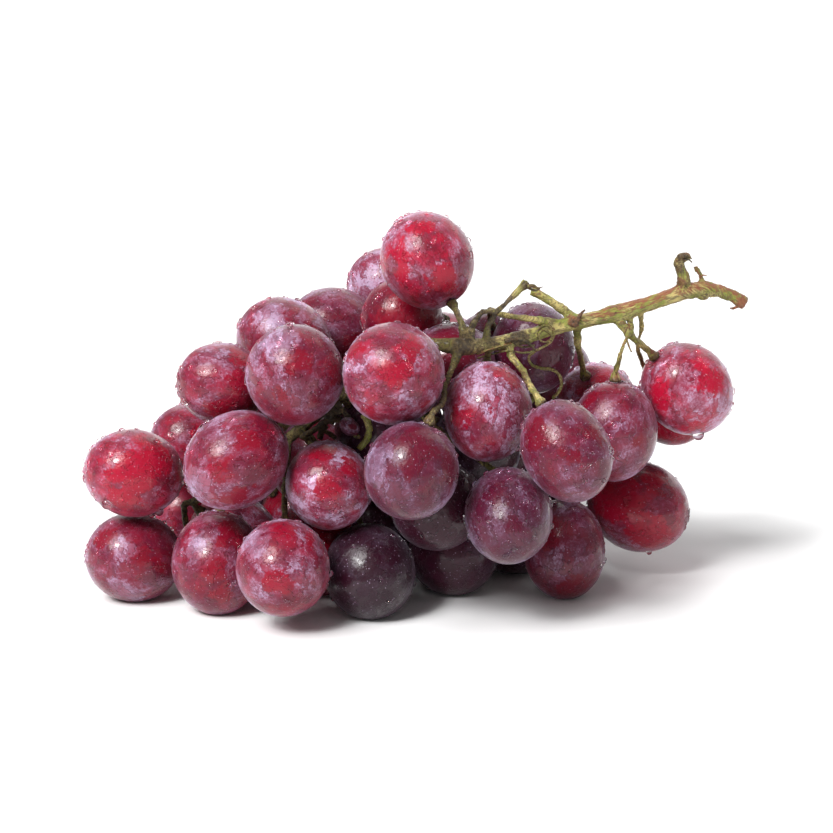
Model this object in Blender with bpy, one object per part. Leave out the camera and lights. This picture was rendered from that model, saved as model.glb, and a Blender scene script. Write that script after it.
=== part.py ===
"""A bunch of large red table grapes, picked and laid on its side, with its cut stem rising to the right.

Units are millimetres in the tables and metres in Blender. +Z is up, +X runs towards the cut stem, and
the bunch is seen from -Y. The berries that face the viewer are placed along the viewer's lines of
sight. The others fill the back and the underside. The stem grows through the gaps left between them.
"""

import heapq
import itertools
import math
import random

import bmesh
import bpy
import numpy as np
from mathutils import Vector

MM = 0.001

# Colour, roughness and metallic value of each material.
RED_SKIN = ((0.36, 0.035, 0.060), 0.32, 0.0)
PURPLE_SKIN = ((0.20, 0.035, 0.065), 0.36, 0.0)
DARK_SKIN = ((0.055, 0.018, 0.035), 0.38, 0.0)
STEM_BARK = ((0.27, 0.20, 0.085), 0.70, 0.0)
PURPLE_BERRIES = {
    "front_mid_1", "front_mid_3", "right_mid", "right_back", "right_low", "right_outer", "under_stem_2",
    "front_centre", "back_mid_4", "back_mid_5", "back_low_4", "back_low_5", "core_2",
}
DARK_BERRIES = {
    "front_low_3", "low_dark", "core_dark", "under_stem_1", "under_stem_3", "core_1", "floor_5", "floor_6",
    "floor_7", "floor_9", "core_4",
}

# The eye that the places of the berries are read from.
EYE_TILT = math.radians(13.0)
EYE_DISTANCE = 620.0
AIM = Vector((0.0, 0.0, 41.0))
FORWARD = Vector((0.0, math.cos(EYE_TILT), -math.sin(EYE_TILT)))
UPWARD = Vector((0.0, math.sin(EYE_TILT), math.cos(EYE_TILT)))
SIDEWAYS = Vector((1.0, 0.0, 0.0))
EYE = AIM - FORWARD * EYE_DISTANCE

# Berries
FRONT_SIDES, FRONT_RINGS = 12, 9
BACK_SIDES, BACK_RINGS = 12, 8
BERRY_GAP = 0.45
RESTING_SINK = 0.8
DIMPLE_DEPTH = 0.055
HIDDEN_LONG = 24.8
HIDDEN_WIDE = 23.2
HIDDEN_SPREAD = 1.2

# Stem
STALK_GAP = 0.35
APPROACH = 2.4
LEAST_STALK_ROOM = 1.3
PEDICEL_RADIUS = 0.85
COLLAR_RADIUS = 1.75
PINCH_RADIUS = 0.5
TWIG_SIDES = 1
RACHIS_SIDES = 2

# Name: (right of the aim, above the aim, depth behind the aim or None where the berry lies on the
# table, long, wide, slant of the long axis or None where it points into the bunch).
SEEN = {
    "tip_upper": (-72.8, -14.6, -33, 24.8, 21.8, -8),
    "tip_lower": (-72.4, -36.3, None, 24.4, 22.4, -5),
    "front_low_1": (-51.6, -37.6, None, 26.0, 22.8, 90),
    "front_low_2": (-34.4, -39.0, -51, 24.0, 22.6, 90),
    "front_low_3": (-10.4, -39.8, None, 24.2, 22.4, 90),
    "low_dark": (9.4, -34.7, None, 23.0, 22.4, 0),
    "core_dark": (3.7, -24.6, -29, 22.8, 22.4, 0),
    "front_mid_1": (23.6, -25.4, -42, 26.8, 21.0, 90),
    "right_low": (38.0, -34.1, None, 26.0, 20.8, 92),
    "front_mid_2": (18.4, 1.3, -46, 24.6, 21.4, 90),
    "front_mid_3": (38.5, -8.9, -46, 25.4, 20.6, 95),
    "right_mid": (50.9, -3.7, -26, 25.4, 21.8, 105),
    "right_end": (69.7, 7.1, -17, 25.0, 22.2, -12),
    "right_end_back": (65.9, 2.7, 6, 21.4, 20.4, 0),
    "right_outer": (57.1, -23.1, 6, 27.0, 23.4, -22),
    "front_low_4": (-22.7, -17.7, -46, 23.0, 21.0, 90),
    "front_centre": (-1.3, -13.9, -48, 23.4, 22.2, 90),
    "left_mid": (-46.0, -10.4, -45, 27.0, 23.0, 12),
    "top_front_1": (-6.1, 11.0, -44, 25.0, 24.2, 90),
    "top_front_2": (-31.6, 10.1, -43, 24.4, 23.8, 90),
    "left_upper": (-49.9, 8.4, -28, 22.6, 20.2, -5),
    "top_left": (-34.1, 18.9, -18, 25.0, 22.6, 5),
    "top_back_1": (-21.3, 22.0, 4, 25.4, 22.8, -10),
    "top_back_2": (-7.3, 33.6, 16, 22.4, 20.8, 0),
    "top": (2.7, 40.2, -27, 24.6, 22.8, 0),
    "top_under": (-3.7, 25.4, -12, 20.8, 20.2, 0),
    "under_stem_1": (9.1, 13.0, -24, 22.2, 21.8, 90),
    "under_stem_2": (30.0, 17.5, -14, 23.2, 21.0, 90),
    "right_back": (46.5, 3.5, -5, 21.2, 20.8, 90),
    "under_stem_3": (19.5, 16.6, 7, 21.6, 21.2, 90),
    "left_back": (-58.4, -6.6, -8, 20.8, 19.8, 0),
}

# Name: (across, depth, height) of the berries that the viewer can't see, before they settle.
HIDDEN = {
    "floor_1": (-46, -8, 11),
    "floor_2": (-25, -21, 11),
    "floor_3": (-57, 12, 11),
    "floor_4": (-30, 11, 11),
    "floor_5": (-8, -2, 11),
    "floor_6": (26, 0, 11),
    "floor_7": (8, 17, 11),
    "floor_8": (-22, 35, 11),
    "floor_9": (31, 24, 11),
    "floor_10": (-46, 34, 11),
    "back_low_1": (-48, 24, 26),
    "back_low_2": (-33, 31, 31),
    "back_low_3": (-5, 31, 27),
    "back_low_4": (17, 40, 23),
    "back_low_5": (46, 20, 26),
    "back_mid_1": (-38, 8, 45),
    "back_mid_2": (-19, 30, 49),
    "back_mid_3": (3, 27, 50),
    "back_mid_4": (20, 17, 33),
    "back_mid_5": (30, 22, 40),
    "back_mid_6": (15, 42, 36),
    "core_1": (15, -9, 35),
    "core_2": (-4, 8, 36),
    "core_3": (-26, -4, 29),
    "core_4": (-9, -18, 41),
}

# The main stem from its cut end into the bunch: right, above, depth, radius.
RACHIS = [
    (84.4, 29.2, -14.0, 1.45),
    (81.6, 31.0, -14.5, 1.35),
    (77.7, 32.4, -15.0, 1.45),
    (73.8, 33.0, -15.5, 1.75),
    (69.2, 32.1, -16.5, 1.85),
    (64.0, 30.5, -17.5, 1.70),
    (58.9, 28.7, -18.5, 1.75),
    (52.4, 26.7, -20.0, 1.95),
    (47.3, 25.5, -21.5, 1.60),
    (41.9, 24.5, -23.5, 1.70),
    (36.5, 23.1, -25.5, 1.65),
    (30.5, 21.3, -27.5, 1.75),
    (24.6, 19.5, -30.0, 1.80),
    (18.9, 18.4, -33.0, 1.65),
    (13.3, 17.9, -36.0, 1.85),
    (8.1, 18.2, -36.5, 1.60),
    (2.5, 18.8, -34.0, 1.55),
    (-4.0, 17.5, -29.5, 1.55),
    (-11.0, 12.5, -26.0, 1.50),
    (-19.0, 6.0, -24.0, 1.50),
    (-27.0, -1.0, -22.0, 1.40),
    (-36.0, -8.0, -20.0, 1.30),
    (-45.0, -15.0, -18.0, 1.15),
    (-54.0, -20.5, -16.0, 1.00),
    (-60.0, -22.5, -14.0, 0.85),
]

# Name: (berry that it carries or None, [(right, above, depth, radius), ...]) of the side stems in sight.
TWIGS = {
    "cut_spur": (None, [(69.0, 32.1, -16.5, 1.5), (68.7, 36.5, -17.0, 1.25), (67.4, 39.6, -17.5, 1.2),
                        (68.3, 41.1, -17.5, 1.25), (70.4, 41.2, -17.5, 0.9)]),
    "knob": (None, [(73.8, 33.0, -15.5, 1.3), (73.7, 30.4, -16.0, 1.15)]),
    "dry_spur": (None, [(73.6, 33.0, -15.5, 0.7), (73.3, 36.4, -16.0, 0.45), (71.8, 38.6, -16.5, 0.4)]),
    "to_right_end": ("right_end", [(51.0, 26.4, -20.5, 1.1), (54.5, 21.6, -20.5, 0.95),
                                   (57.8, 18.9, -20.0, 1.05)]),
    "to_right_end_back": ("right_end_back", [(57.6, 28.2, -18.7, 0.75), (58.0, 22.3, -15.0, 0.6),
                                             (56.9, 17.6, -9.0, 0.6), (56.4, 14.5, -4.0, 0.65)]),
    "to_right_mid": ("right_mid", [(54.8, 27.5, -19.5, 0.7), (55.3, 22.8, -20.5, 0.55),
                                   (53.2, 18.0, -22.5, 0.55), (51.2, 13.5, -24.5, 0.6)]),
    "to_right_back": ("right_back", [(41.6, 24.3, -23.5, 1.1), (41.4, 19.4, -19.5, 0.85),
                                     (41.2, 15.8, -15.0, 0.9)]),
    "cut_lateral": (None, [(41.5, 24.6, -23.5, 1.25), (36.0, 28.7, -22.5, 1.15), (32.6, 30.8, -21.5, 1.1),
                           (29.8, 32.4, -20.5, 1.2)]),
    "bare_pedicel": (None, [(18.0, 18.6, -33.5, 1.0), (18.3, 23.2, -33.0, 0.85), (20.7, 27.0, -32.0, 0.7),
                            (24.1, 30.3, -31.0, 0.75), (26.8, 33.0, -30.0, 0.95), (28.4, 34.3, -29.5, 1.4)]),
    "arched_pedicel": (None, [(13.3, 18.2, -36.0, 1.0), (14.6, 24.0, -35.5, 0.75), (16.8, 26.9, -34.5, 0.7),
                              (20.3, 27.2, -32.5, 0.65)]),
    "to_top": ("top", [(12.9, 18.5, -36.0, 1.15), (11.4, 24.6, -34.5, 0.85), (10.0, 27.6, -33.0, 0.95)]),
    "to_front_centre": ("front_centre", [(11.5, 18.0, -36.5, 1.1), (9.0, 12.0, -38.5, 0.85),
                                         (7.1, 7.3, -41.5, 0.8), (4.3, 1.5, -44.5, 0.8)]),
    "to_front_mid_3": ("front_mid_3", [(23.8, 19.4, -30.5, 1.15), (24.3, 15.6, -33.0, 0.95),
                                       (26.9, 11.4, -36.5, 0.9), (29.8, 7.3, -40.0, 0.95)]),
    "to_under_stem_3": ("under_stem_3", [(38.0, 23.6, -25.0, 1.1), (31.8, 24.8, -28.0, 0.95),
                                         (26.7, 25.5, -28.0, 0.85), (21.5, 26.4, -24.0, 0.8),
                                         (18.9, 27.4, -16.0, 0.8), (19.2, 28.4, -6.0, 0.8)]),
}

SETTLE_STEPS = 500
DRAW_BACK = 8.0
SEEN_PULL = 0.12
HOME_PULL = 0.03
RACHIS_CLEARANCE = 0.7

# The grid that the hidden side stems are routed through.
GRID_STEP = 1.5
GRID_MARGIN = 5.0
GRID_REACH = 7.0
LEAST_CLEARANCE = 0.75
WANTED_CLEARANCE = 2.0
IN_VIEW_COST = 8.0
RELAX_STEPS = 150


def in_sight(right, above, depth):
    """The point on the line of sight through (right, above) at that depth."""
    ray = FORWARD * EYE_DISTANCE + SIDEWAYS * right + UPWARD * above
    return EYE + ray * ((depth - EYE.y) / ray.y)


def on_table(right, above, height):
    """The point on the line of sight through (right, above) at that height over the table."""
    ray = FORWARD * EYE_DISTANCE + SIDEWAYS * right + UPWARD * above
    return EYE + ray * ((height - EYE.z) / ray.z)


class Berry:
    """A berry is a spheroid whose axis points from its centre to its stalk."""

    def __init__(self, name, centre, long, wide, axis, resting, sight, carried):
        self.name = name
        self.centre = centre
        self.home = centre.copy()
        self.long = long
        self.wide = wide
        self.axis = axis
        self.slant = axis.copy()
        self.resting = resting
        self.sight = sight
        self.carried = carried
        self.chosen = carried

    def reach(self, direction):
        """How far the berry reaches from its centre along a unit vector."""
        if not self.chosen and not self.sight:
            return self.long / 2
        along = self.axis.dot(direction) ** 2
        return math.sqrt(along * (self.long / 2) ** 2 + (1 - along) * (self.wide / 2) ** 2)

    def stalk_end(self, axis, extra):
        return self.centre + axis * (self.long / 2 * (1 - DIMPLE_DEPTH) + STALK_GAP + extra)


def smooth_route(points, step):
    """Points about `step` apart on a smooth curve through (point, radius) pairs."""
    route = []
    for i in range(len(points) - 1):
        before = points[max(i - 1, 0)][0]
        (start, start_radius), (end, end_radius) = points[i], points[i + 1]
        after = points[min(i + 2, len(points) - 1)][0]
        count = max(1, round((end - start).length / step))
        for k in range(count):
            t = k / count
            spot = 0.5 * (
                2 * start
                + (end - before) * t
                + (2 * before - 5 * start + 4 * end - after) * t * t
                + (3 * start - before - 3 * end + after) * t ** 3
            )
            route.append((spot, start_radius + (end_radius - start_radius) * t))
    route.append(points[-1])
    return route


def nearest_on(route, spot):
    return min(route, key=lambda item: (item[0] - spot).length_squared)


def make_berries(rachis):
    berries = {}
    carried = {berry: route for berry, route in TWIGS.values() if berry}
    for name, (right, above, depth, long, wide, slant) in SEEN.items():
        resting = depth is None
        centre = on_table(right, above, wide / 2) if resting else in_sight(right, above, depth)
        if name in carried:
            axis = (in_sight(*carried[name][-1][:3]) - centre).normalized()
        else:
            lean = math.radians(slant)
            axis = SIDEWAYS * math.cos(lean) + UPWARD * math.sin(lean)
        sight = (right, above)
        berries[name] = Berry(name, centre, long, wide, axis, resting, sight, name in carried)
    draw = random.Random(7)
    for name, place in HIDDEN.items():
        centre = Vector(place)
        inward = (nearest_on(rachis, centre)[0] - centre).normalized()
        growth = draw.uniform(-HIDDEN_SPREAD, HIDDEN_SPREAD)
        resting = name.startswith("floor")
        berries[name] = Berry(
            name, centre, HIDDEN_LONG + growth, HIDDEN_WIDE + growth * 0.8, inward, resting, None, False
        )
    return berries


def gather(berry):
    """Draws a seen berry back along its line of sight, and a hidden one to its own place."""
    if berry.sight and not berry.resting:
        ray = (berry.centre - EYE).normalized()
        goal = berry.home.y + (DRAW_BACK if berry.home.y < 0 else -DRAW_BACK)
        berry.centre = berry.centre + ray * math.copysign(SEEN_PULL, goal - berry.centre.y)
    elif not berry.sight:
        berry.centre = berry.centre.lerp(berry.home, HOME_PULL)


def settle(berries, rachis, steps, pulled):
    """Pushes the berries apart until none overlap, keeping the seen ones on their lines of sight."""
    everyone = list(berries.values())
    for step in range(steps):
        if pulled and step < steps - 80:
            for berry in everyone:
                gather(berry)
        if step < steps - 40:
            for berry in everyone:
                if berry.sight and berry.resting:
                    berry.centre = berry.centre.lerp(on_table(*berry.sight, berry.centre.z), 0.5)
                elif berry.sight:
                    berry.centre = berry.centre.lerp(in_sight(*berry.sight, berry.centre.y), 0.5)
        for i, one in enumerate(everyone):
            for other in everyone[i + 1:]:
                apart = other.centre - one.centre
                distance = apart.length
                if distance > 30.0:
                    continue
                unit = apart / distance
                short = one.reach(unit) + other.reach(unit) + BERRY_GAP - distance
                if short <= 0:
                    continue
                share = 0.5
                if one.sight and not other.sight:
                    share = 0.1
                elif other.sight and not one.sight:
                    share = 0.9
                for berry, part, way in ((one, share, -1), (other, 1 - share, 1)):
                    push = unit * (short * part * way * 0.6)
                    if berry.sight and not berry.resting:
                        ray = (berry.centre - EYE).normalized()
                        along = unit.dot(ray) * way
                        push += ray * math.copysign(short * part * 0.5, along) * min(1, abs(along) * 3)
                    berry.centre = berry.centre + push
        for berry in everyone:
            spot, radius = nearest_on(rachis, berry.centre)
            apart = berry.centre - spot
            unit = apart.normalized()
            short = berry.reach(unit) + radius + RACHIS_CLEARANCE - apart.length
            if short > 0:
                berry.centre = berry.centre + unit * short * 0.6
            height = berry.reach(Vector((0, 0, 1)))
            if berry.resting:
                berry.centre.z = height - RESTING_SINK
            else:
                berry.centre.z = max(berry.centre.z, height + 0.4)


class Crowd:
    """The berries as arrays, for the free room around many points at once."""

    def __init__(self, berries):
        self.names = list(berries)
        self.centres = np.array([berry.centre for berry in berries.values()])
        self.axes = np.array([berry.axis for berry in berries.values()])
        self.longs = np.array([berry.long / 2 for berry in berries.values()])
        self.wides = np.array([berry.wide / 2 for berry in berries.values()])
        self.depths = self.centres @ np.array(FORWARD)

    def room(self, points, index):
        """How far each point is outside one berry."""
        offset = points - self.centres[index]
        distance = np.linalg.norm(offset, axis=-1) + 1e-9
        along = ((offset @ self.axes[index]) / distance) ** 2
        surface = 1 / np.sqrt(along / self.longs[index] ** 2 + (1 - along) / self.wides[index] ** 2)
        return distance - surface

    def rooms(self, points):
        return np.stack([self.room(points, i) for i in range(len(self.names))])


def pictured(points):
    """Right and above for points in space, and their depth along the view."""
    offset = points - np.array(EYE)
    depth = offset @ np.array(FORWARD)
    right = offset @ np.array(SIDEWAYS) * EYE_DISTANCE / depth
    above = offset @ np.array(UPWARD) * EYE_DISTANCE / depth
    return right, above, points @ np.array(FORWARD)


class Grid:
    """The free cells between the berries and what it costs a side stem to pass each of them."""

    def __init__(self, crowd, berries):
        low = crowd.centres.min(axis=0) - 13.5 - GRID_MARGIN
        high = crowd.centres.max(axis=0) + 13.5 + GRID_MARGIN
        low[2] = GRID_STEP
        self.low = low
        self.shape = tuple(int(n) for n in np.ceil((high - low) / GRID_STEP))
        room = np.full(self.shape, 99.0)
        indices = np.stack(np.meshgrid(*[np.arange(n) for n in self.shape], indexing="ij"), axis=-1)
        points = low + indices * GRID_STEP
        span = 14.0 + GRID_REACH
        for i, centre in enumerate(crowd.centres):
            first = np.maximum(np.floor((centre - span - low) / GRID_STEP).astype(int), 0)
            last = np.ceil((centre + span - low) / GRID_STEP).astype(int)
            box = tuple(slice(a, b) for a, b in zip(first, last))
            room[box] = np.minimum(room[box], crowd.room(points[box], i))
        self.room = room
        free = (room > LEAST_CLEARANCE) & (room < GRID_REACH)
        right, above, depth = pictured(points)
        covered = np.zeros(self.shape, bool)
        shown = np.zeros(self.shape, bool)
        for i, berry in enumerate(berries.values()):
            if berry.sight:
                eye_right, eye_above, eye_depth = pictured(crowd.centres[i])
                inside = (right - eye_right) ** 2 + (above - eye_above) ** 2 < (berry.wide / 2) ** 2
                covered |= inside & (depth > eye_depth)
                shown |= inside & (depth < eye_depth)
        tight = np.clip(WANTED_CLEARANCE - room, 0, None)
        self.cost = 1 + tight * tight * 2 + np.where(covered & ~shown, 0.0, IN_VIEW_COST)
        self.free = free

    def cell(self, point):
        return tuple(int(round(n)) for n in (np.array(point) - self.low) / GRID_STEP)

    def point(self, cell):
        return Vector(self.low + np.array(cell) * GRID_STEP)

    def spread(self, sources):
        """The cheapest way from the sources to every free cell."""
        steps = [
            (i, j, k, math.sqrt(i * i + j * j + k * k) * GRID_STEP)
            for i in (-1, 0, 1) for j in (-1, 0, 1) for k in (-1, 0, 1) if (i, j, k) != (0, 0, 0)
        ]
        shape = self.shape
        cost = self.cost
        free = self.free
        price = {}
        previous = {}
        queue = []
        for number, point in sources:
            cell = self.cell(point)
            for i, j, k, length in steps:
                near = (cell[0] + i, cell[1] + j, cell[2] + k)
                if all(0 <= near[n] < shape[n] for n in range(3)) and free[near]:
                    if near not in price or price[near] > length:
                        price[near] = length
                        previous[near] = number
                        heapq.heappush(queue, (length, near))
        done = set()
        while queue:
            paid, cell = heapq.heappop(queue)
            if cell in done:
                continue
            done.add(cell)
            for i, j, k, length in steps:
                near = (cell[0] + i, cell[1] + j, cell[2] + k)
                if near in done or not all(0 <= near[n] < shape[n] for n in range(3)) or not free[near]:
                    continue
                total = paid + length * cost[near]
                if total < price.get(near, 1e9):
                    price[near] = total
                    previous[near] = cell
                    heapq.heappush(queue, (total, near))
        return price, previous


def axis_choices(berry):
    """The ways a berry's stalk may point, each with what it adds to the cost."""
    choices = []
    if berry.sight:
        for way in (1, -1):
            for back in (0, 10, 20, 32, 44, 56, 68, 80):
                for swing in (0, -12, 12, -24, 24, -36, 36):
                    across = berry.slant.cross(FORWARD)
                    turn = math.radians(swing)
                    flat = berry.slant * math.cos(turn) + across * math.sin(turn)
                    tilt = math.radians(back)
                    axis = (flat * way * math.cos(tilt) + FORWARD * math.sin(tilt)).normalized()
                    choices.append((axis, abs(back - 20) * 0.25 + abs(swing) * 0.25))
        return choices
    golden = math.pi * (3 - math.sqrt(5))
    for i in range(80):
        height = 1 - 2 * (i + 0.5) / 80
        ring = math.sqrt(1 - height * height)
        axis = Vector((ring * math.cos(golden * i), ring * math.sin(golden * i), height))
        if height > -0.6:
            choices.append((axis, 0.0))
    return choices


def choose_axes(berries, grid, price):
    """Turns each berry so that its stalk comes out where a side stem can reach it."""
    crowd = Crowd(berries)
    arrivals = {}
    for index, berry in enumerate(berries.values()):

        def room_at(axis):
            spot = np.array([berry.stalk_end(axis, APPROACH)])
            return np.delete(crowd.rooms(spot)[:, 0], index).min()

        kept = berry.carried or (berry.chosen and room_at(berry.axis) > LEAST_STALK_ROOM)
        best = None
        for axis, penalty in [(berry.axis, 0.0)] if kept else axis_choices(berry):
            spot = berry.stalk_end(axis, APPROACH)
            penalty = penalty + max(0.0, 2.0 - room_at(axis)) * 25
            cell = grid.cell(spot)
            for i, j, k in itertools.product((-1, 0, 1), repeat=3):
                near = (cell[0] + i, cell[1] + j, cell[2] + k)
                if near in price:
                    total = price[near] + penalty + (grid.point(near) - spot).length
                    if best is None or total < best[0]:
                        best = (total, axis, near)
        berry.axis = best[1]
        berry.chosen = True
        arrivals[berry.name] = best[2]
    return arrivals


class Network:
    """The points of the stem, which of them are joined in a row, and how thick each is."""

    def __init__(self):
        self.points = []
        self.radii = []
        self.holds = []
        self.berries = []
        self.chains = []

    def add(self, point, radius, hold, berry=None):
        self.points.append(Vector(point))
        self.radii.append(radius)
        self.holds.append(hold)
        self.berries.append(berry)
        return len(self.points) - 1

    def add_stalk(self, berry):
        """The last stretch of a side stem: straight to the berry, with a collar at its end."""
        return [
            self.add(berry.stalk_end(berry.axis, APPROACH), PEDICEL_RADIUS, "anchored", berry.name),
            self.add(berry.stalk_end(berry.axis, 0.0), COLLAR_RADIUS, "anchored", berry.name),
        ]


def grow_stem(berries, rachis, grid, previous, arrivals):
    network = Network()
    network.chains.append([network.add(point, radius, "anchored") for point, radius in rachis])
    carried = set()
    for berry, route in TWIGS.values():
        points = [(in_sight(*spot[:3]), spot[3]) for spot in route]
        if berry:
            approach = berries[berry].stalk_end(berries[berry].axis, APPROACH)
            points[-1] = (approach, PEDICEL_RADIUS)
        points = smooth_route(points, 3.6)
        if berry:
            points.pop()
        chain = [
            network.add(point, radius, "stiff" if i else "anchored")
            for i, (point, radius) in enumerate(points)
        ]
        if berry:
            chain += network.add_stalk(berries[berry])
            carried.add(berry)
        network.chains.append(chain)
    loads = {}
    children = {}
    ends = {}
    for name, cell in arrivals.items():
        if name in carried:
            continue
        ends.setdefault(cell, []).append(name)
        while not isinstance(cell, int):
            loads[cell] = loads.get(cell, 0) + 1
            origin = previous[cell]
            children.setdefault(origin, set()).add(cell)
            cell = origin
    starts = [(number, number, cell) for number in children if isinstance(number, int)
              for cell in sorted(children[number])]
    while starts:
        index, origin, cell = starts.pop(0)
        chain = [index]
        since = 0.0
        while True:
            here = grid.point(cell)
            since += (here - (grid.point(origin) if not isinstance(origin, int) else rachis[origin][0])).length
            heirs = sorted(children.get(cell, ()), key=lambda heir: (-loads[heir], heir))
            here_ends = ends.get(cell, [])
            if since > 4.2 or len(heirs) + len(here_ends) != 1 or here_ends:
                radius = min(PEDICEL_RADIUS * loads[cell] ** 0.42, 1.6)
                chain.append(network.add(here, radius, "loose"))
                since = 0.0
            for heir in heirs[1:]:
                starts.append((chain[-1], cell, heir))
            spare = list(here_ends)
            if not heirs and spare:
                berry = berries[spare.pop(0)]
                crowded = (here - berry.stalk_end(berry.axis, APPROACH)).length < 2.2
                if crowded and not spare and len(chain) > 2:
                    chain.pop()
                chain += network.add_stalk(berry)
            for name in spare:
                network.chains.append([chain[-1 if heirs else -3]] + network.add_stalk(berries[name]))
            if not heirs:
                break
            origin, cell = cell, heirs[0]
        network.chains.append(chain)
    return network


def relax(network, crowd):
    """Smooths the side stems and keeps them off the berries, then thins them where room is short."""
    points = np.array(network.points)
    radii = np.array(network.radii)
    loose = np.array([hold == "loose" for hold in network.holds])
    movable = np.array([hold != "anchored" for hold in network.holds])
    average = np.zeros((len(points), len(points)))
    for chain in network.chains:
        for one, other in zip(chain, chain[1:]):
            average[one, other] = 1
            average[other, one] = 1
    average /= np.maximum(average.sum(axis=1, keepdims=True), 1)
    for step in range(RELAX_STEPS):
        if step < RELAX_STEPS - 25:
            points[loose] += 0.3 * (average @ points - points)[loose]
        for index, centre in enumerate(crowd.centres):
            short = np.clip(radii + 0.6 - crowd.room(points, index), 0, 0.6)
            offset = points - centre
            unit = offset / np.linalg.norm(offset, axis=1, keepdims=True)
            points[movable] += (unit * short[:, None])[movable] * 0.7
        low = movable & (points[:, 2] < radii + 0.6)
        points[low, 2] = radii[low] + 0.6
    rooms = crowd.rooms(points)
    for i, name in enumerate(network.berries):
        if name:
            rooms[crowd.names.index(name), i] = 99.0
    radii = np.maximum(np.minimum(radii, rooms.min(axis=0) - 0.5), PINCH_RADIUS)
    network.points = [Vector(point) for point in points]
    network.radii = list(radii)
    shared = [index for chain in network.chains for index in chain]
    for chain in network.chains:
        for index in chain[1:-1]:
            place = chain.index(index)
            beside = (chain[place - 1], chain[place + 1])
            close = min((network.points[index] - network.points[i]).length for i in beside) < 1.4
            if close and network.holds[index] == "loose" and shared.count(index) == 1:
                chain.remove(index)


def layout():
    course = [(in_sight(*spot[:3]), spot[3]) for spot in RACHIS]
    rachis = smooth_route(course, 4.5)
    fine_rachis = smooth_route(course, 1.2)
    berries = make_berries(rachis)
    settle(berries, fine_rachis, SETTLE_STEPS, True)
    sources = [(i, point) for i, (point, radius) in enumerate(rachis) if point.x < 52.0]
    grid = Grid(Crowd(berries), berries)
    price, previous = grid.spread(sources)
    choose_axes(berries, grid, price)
    settle(berries, fine_rachis, SETTLE_STEPS // 4, False)
    grid = Grid(Crowd(berries), berries)
    price, previous = grid.spread(sources)
    arrivals = choose_axes(berries, grid, price)
    settle(berries, fine_rachis, SETTLE_STEPS // 10, False)
    network = grow_stem(berries, rachis, grid, previous, arrivals)
    relax(network, Crowd(berries))
    return berries, rachis, network


def clear_scene():
    for item in list(bpy.data.objects):
        bpy.data.objects.remove(item, do_unlink=True)


def make_collection(name):
    collection = bpy.data.collections.new(name)
    bpy.context.scene.collection.children.link(collection)
    return collection


def make_material(name, look):
    colour, roughness, metallic = look
    material = bpy.data.materials.new(name)
    material.use_nodes = True
    shader = material.node_tree.nodes["Principled BSDF"]
    shader.inputs["Base Color"].default_value = (*colour, 1.0)
    shader.inputs["Roughness"].default_value = roughness
    shader.inputs["Metallic"].default_value = metallic
    material.diffuse_color = (*colour, 1.0)
    return material


def skin_of(name):
    if name in DARK_BERRIES:
        return DARK_SKIN
    if name in PURPLE_BERRIES:
        return PURPLE_SKIN
    return RED_SKIN


def build_berry(berry, shift, collection):
    """A spheroid with a shallow dimple round its stalk and a flat spot where it lies on the table."""
    sides, rings = (FRONT_SIDES, FRONT_RINGS) if berry.sight else (BACK_SIDES, BACK_RINGS)
    shape = bmesh.new()
    bmesh.ops.create_uvsphere(shape, u_segments=sides, v_segments=rings, radius=1.0)
    for vertex in shape.verts:
        if vertex.co.z > 0.999:
            vertex.co.z = 1 - DIMPLE_DEPTH
    bmesh.ops.scale(shape, vec=(berry.wide / 2, berry.wide / 2, berry.long / 2), verts=shape.verts)
    turn = berry.axis.to_track_quat("Z", "Y").to_matrix()
    bmesh.ops.rotate(shape, matrix=turn, verts=shape.verts)
    bmesh.ops.translate(shape, vec=berry.centre + shift, verts=shape.verts)
    if berry.resting:
        cut = bmesh.ops.bisect_plane(
            shape,
            geom=shape.verts[:] + shape.edges[:] + shape.faces[:],
            dist=0.001,
            plane_co=(0, 0, 0),
            plane_no=(0, 0, -1),
            clear_outer=True,
        )
        rim = [item for item in cut["geom_cut"] if isinstance(item, bmesh.types.BMEdge)]
        bmesh.ops.holes_fill(shape, edges=rim, sides=0)
    bmesh.ops.scale(shape, vec=(MM, MM, MM), verts=shape.verts)
    bmesh.ops.recalc_face_normals(shape, faces=shape.faces)
    mesh = bpy.data.meshes.new(berry.name)
    shape.to_mesh(mesh)
    shape.free()
    piece = bpy.data.objects.new(berry.name, mesh)
    piece.data.materials.append(make_material(berry.name + "_skin", skin_of(berry.name)))
    collection.objects.link(piece)
    mesh.shade_smooth()
    mesh.set_sharp_from_angle(angle=math.radians(50))
    return piece


def build_tube(name, points, radii, sides, collection):
    """A closed tube along the points, made a mesh so that it can be joined to the others."""
    curve = bpy.data.curves.new(name, "CURVE")
    curve.dimensions = "3D"
    curve.bevel_depth = MM
    curve.bevel_resolution = sides
    curve.use_fill_caps = True
    spline = curve.splines.new("POLY")
    spline.points.add(len(points) - 1)
    for spot, point, radius in zip(spline.points, points, radii):
        spot.co = (*(point * MM), 1.0)
        spot.radius = radius
    wire = bpy.data.objects.new(name + "_line", curve)
    collection.objects.link(wire)
    bpy.context.view_layer.update()
    mesh = bpy.data.meshes.new_from_object(wire.evaluated_get(bpy.context.evaluated_depsgraph_get()))
    shape = bmesh.new()
    shape.from_mesh(mesh)
    bmesh.ops.remove_doubles(shape, verts=shape.verts, dist=0.000005)
    bmesh.ops.recalc_face_normals(shape, faces=shape.faces)
    shape.to_mesh(mesh)
    shape.free()
    piece = bpy.data.objects.new(name, mesh)
    piece.matrix_world = wire.matrix_world
    bpy.data.objects.remove(wire, do_unlink=True)
    collection.objects.link(piece)
    return piece


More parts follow.
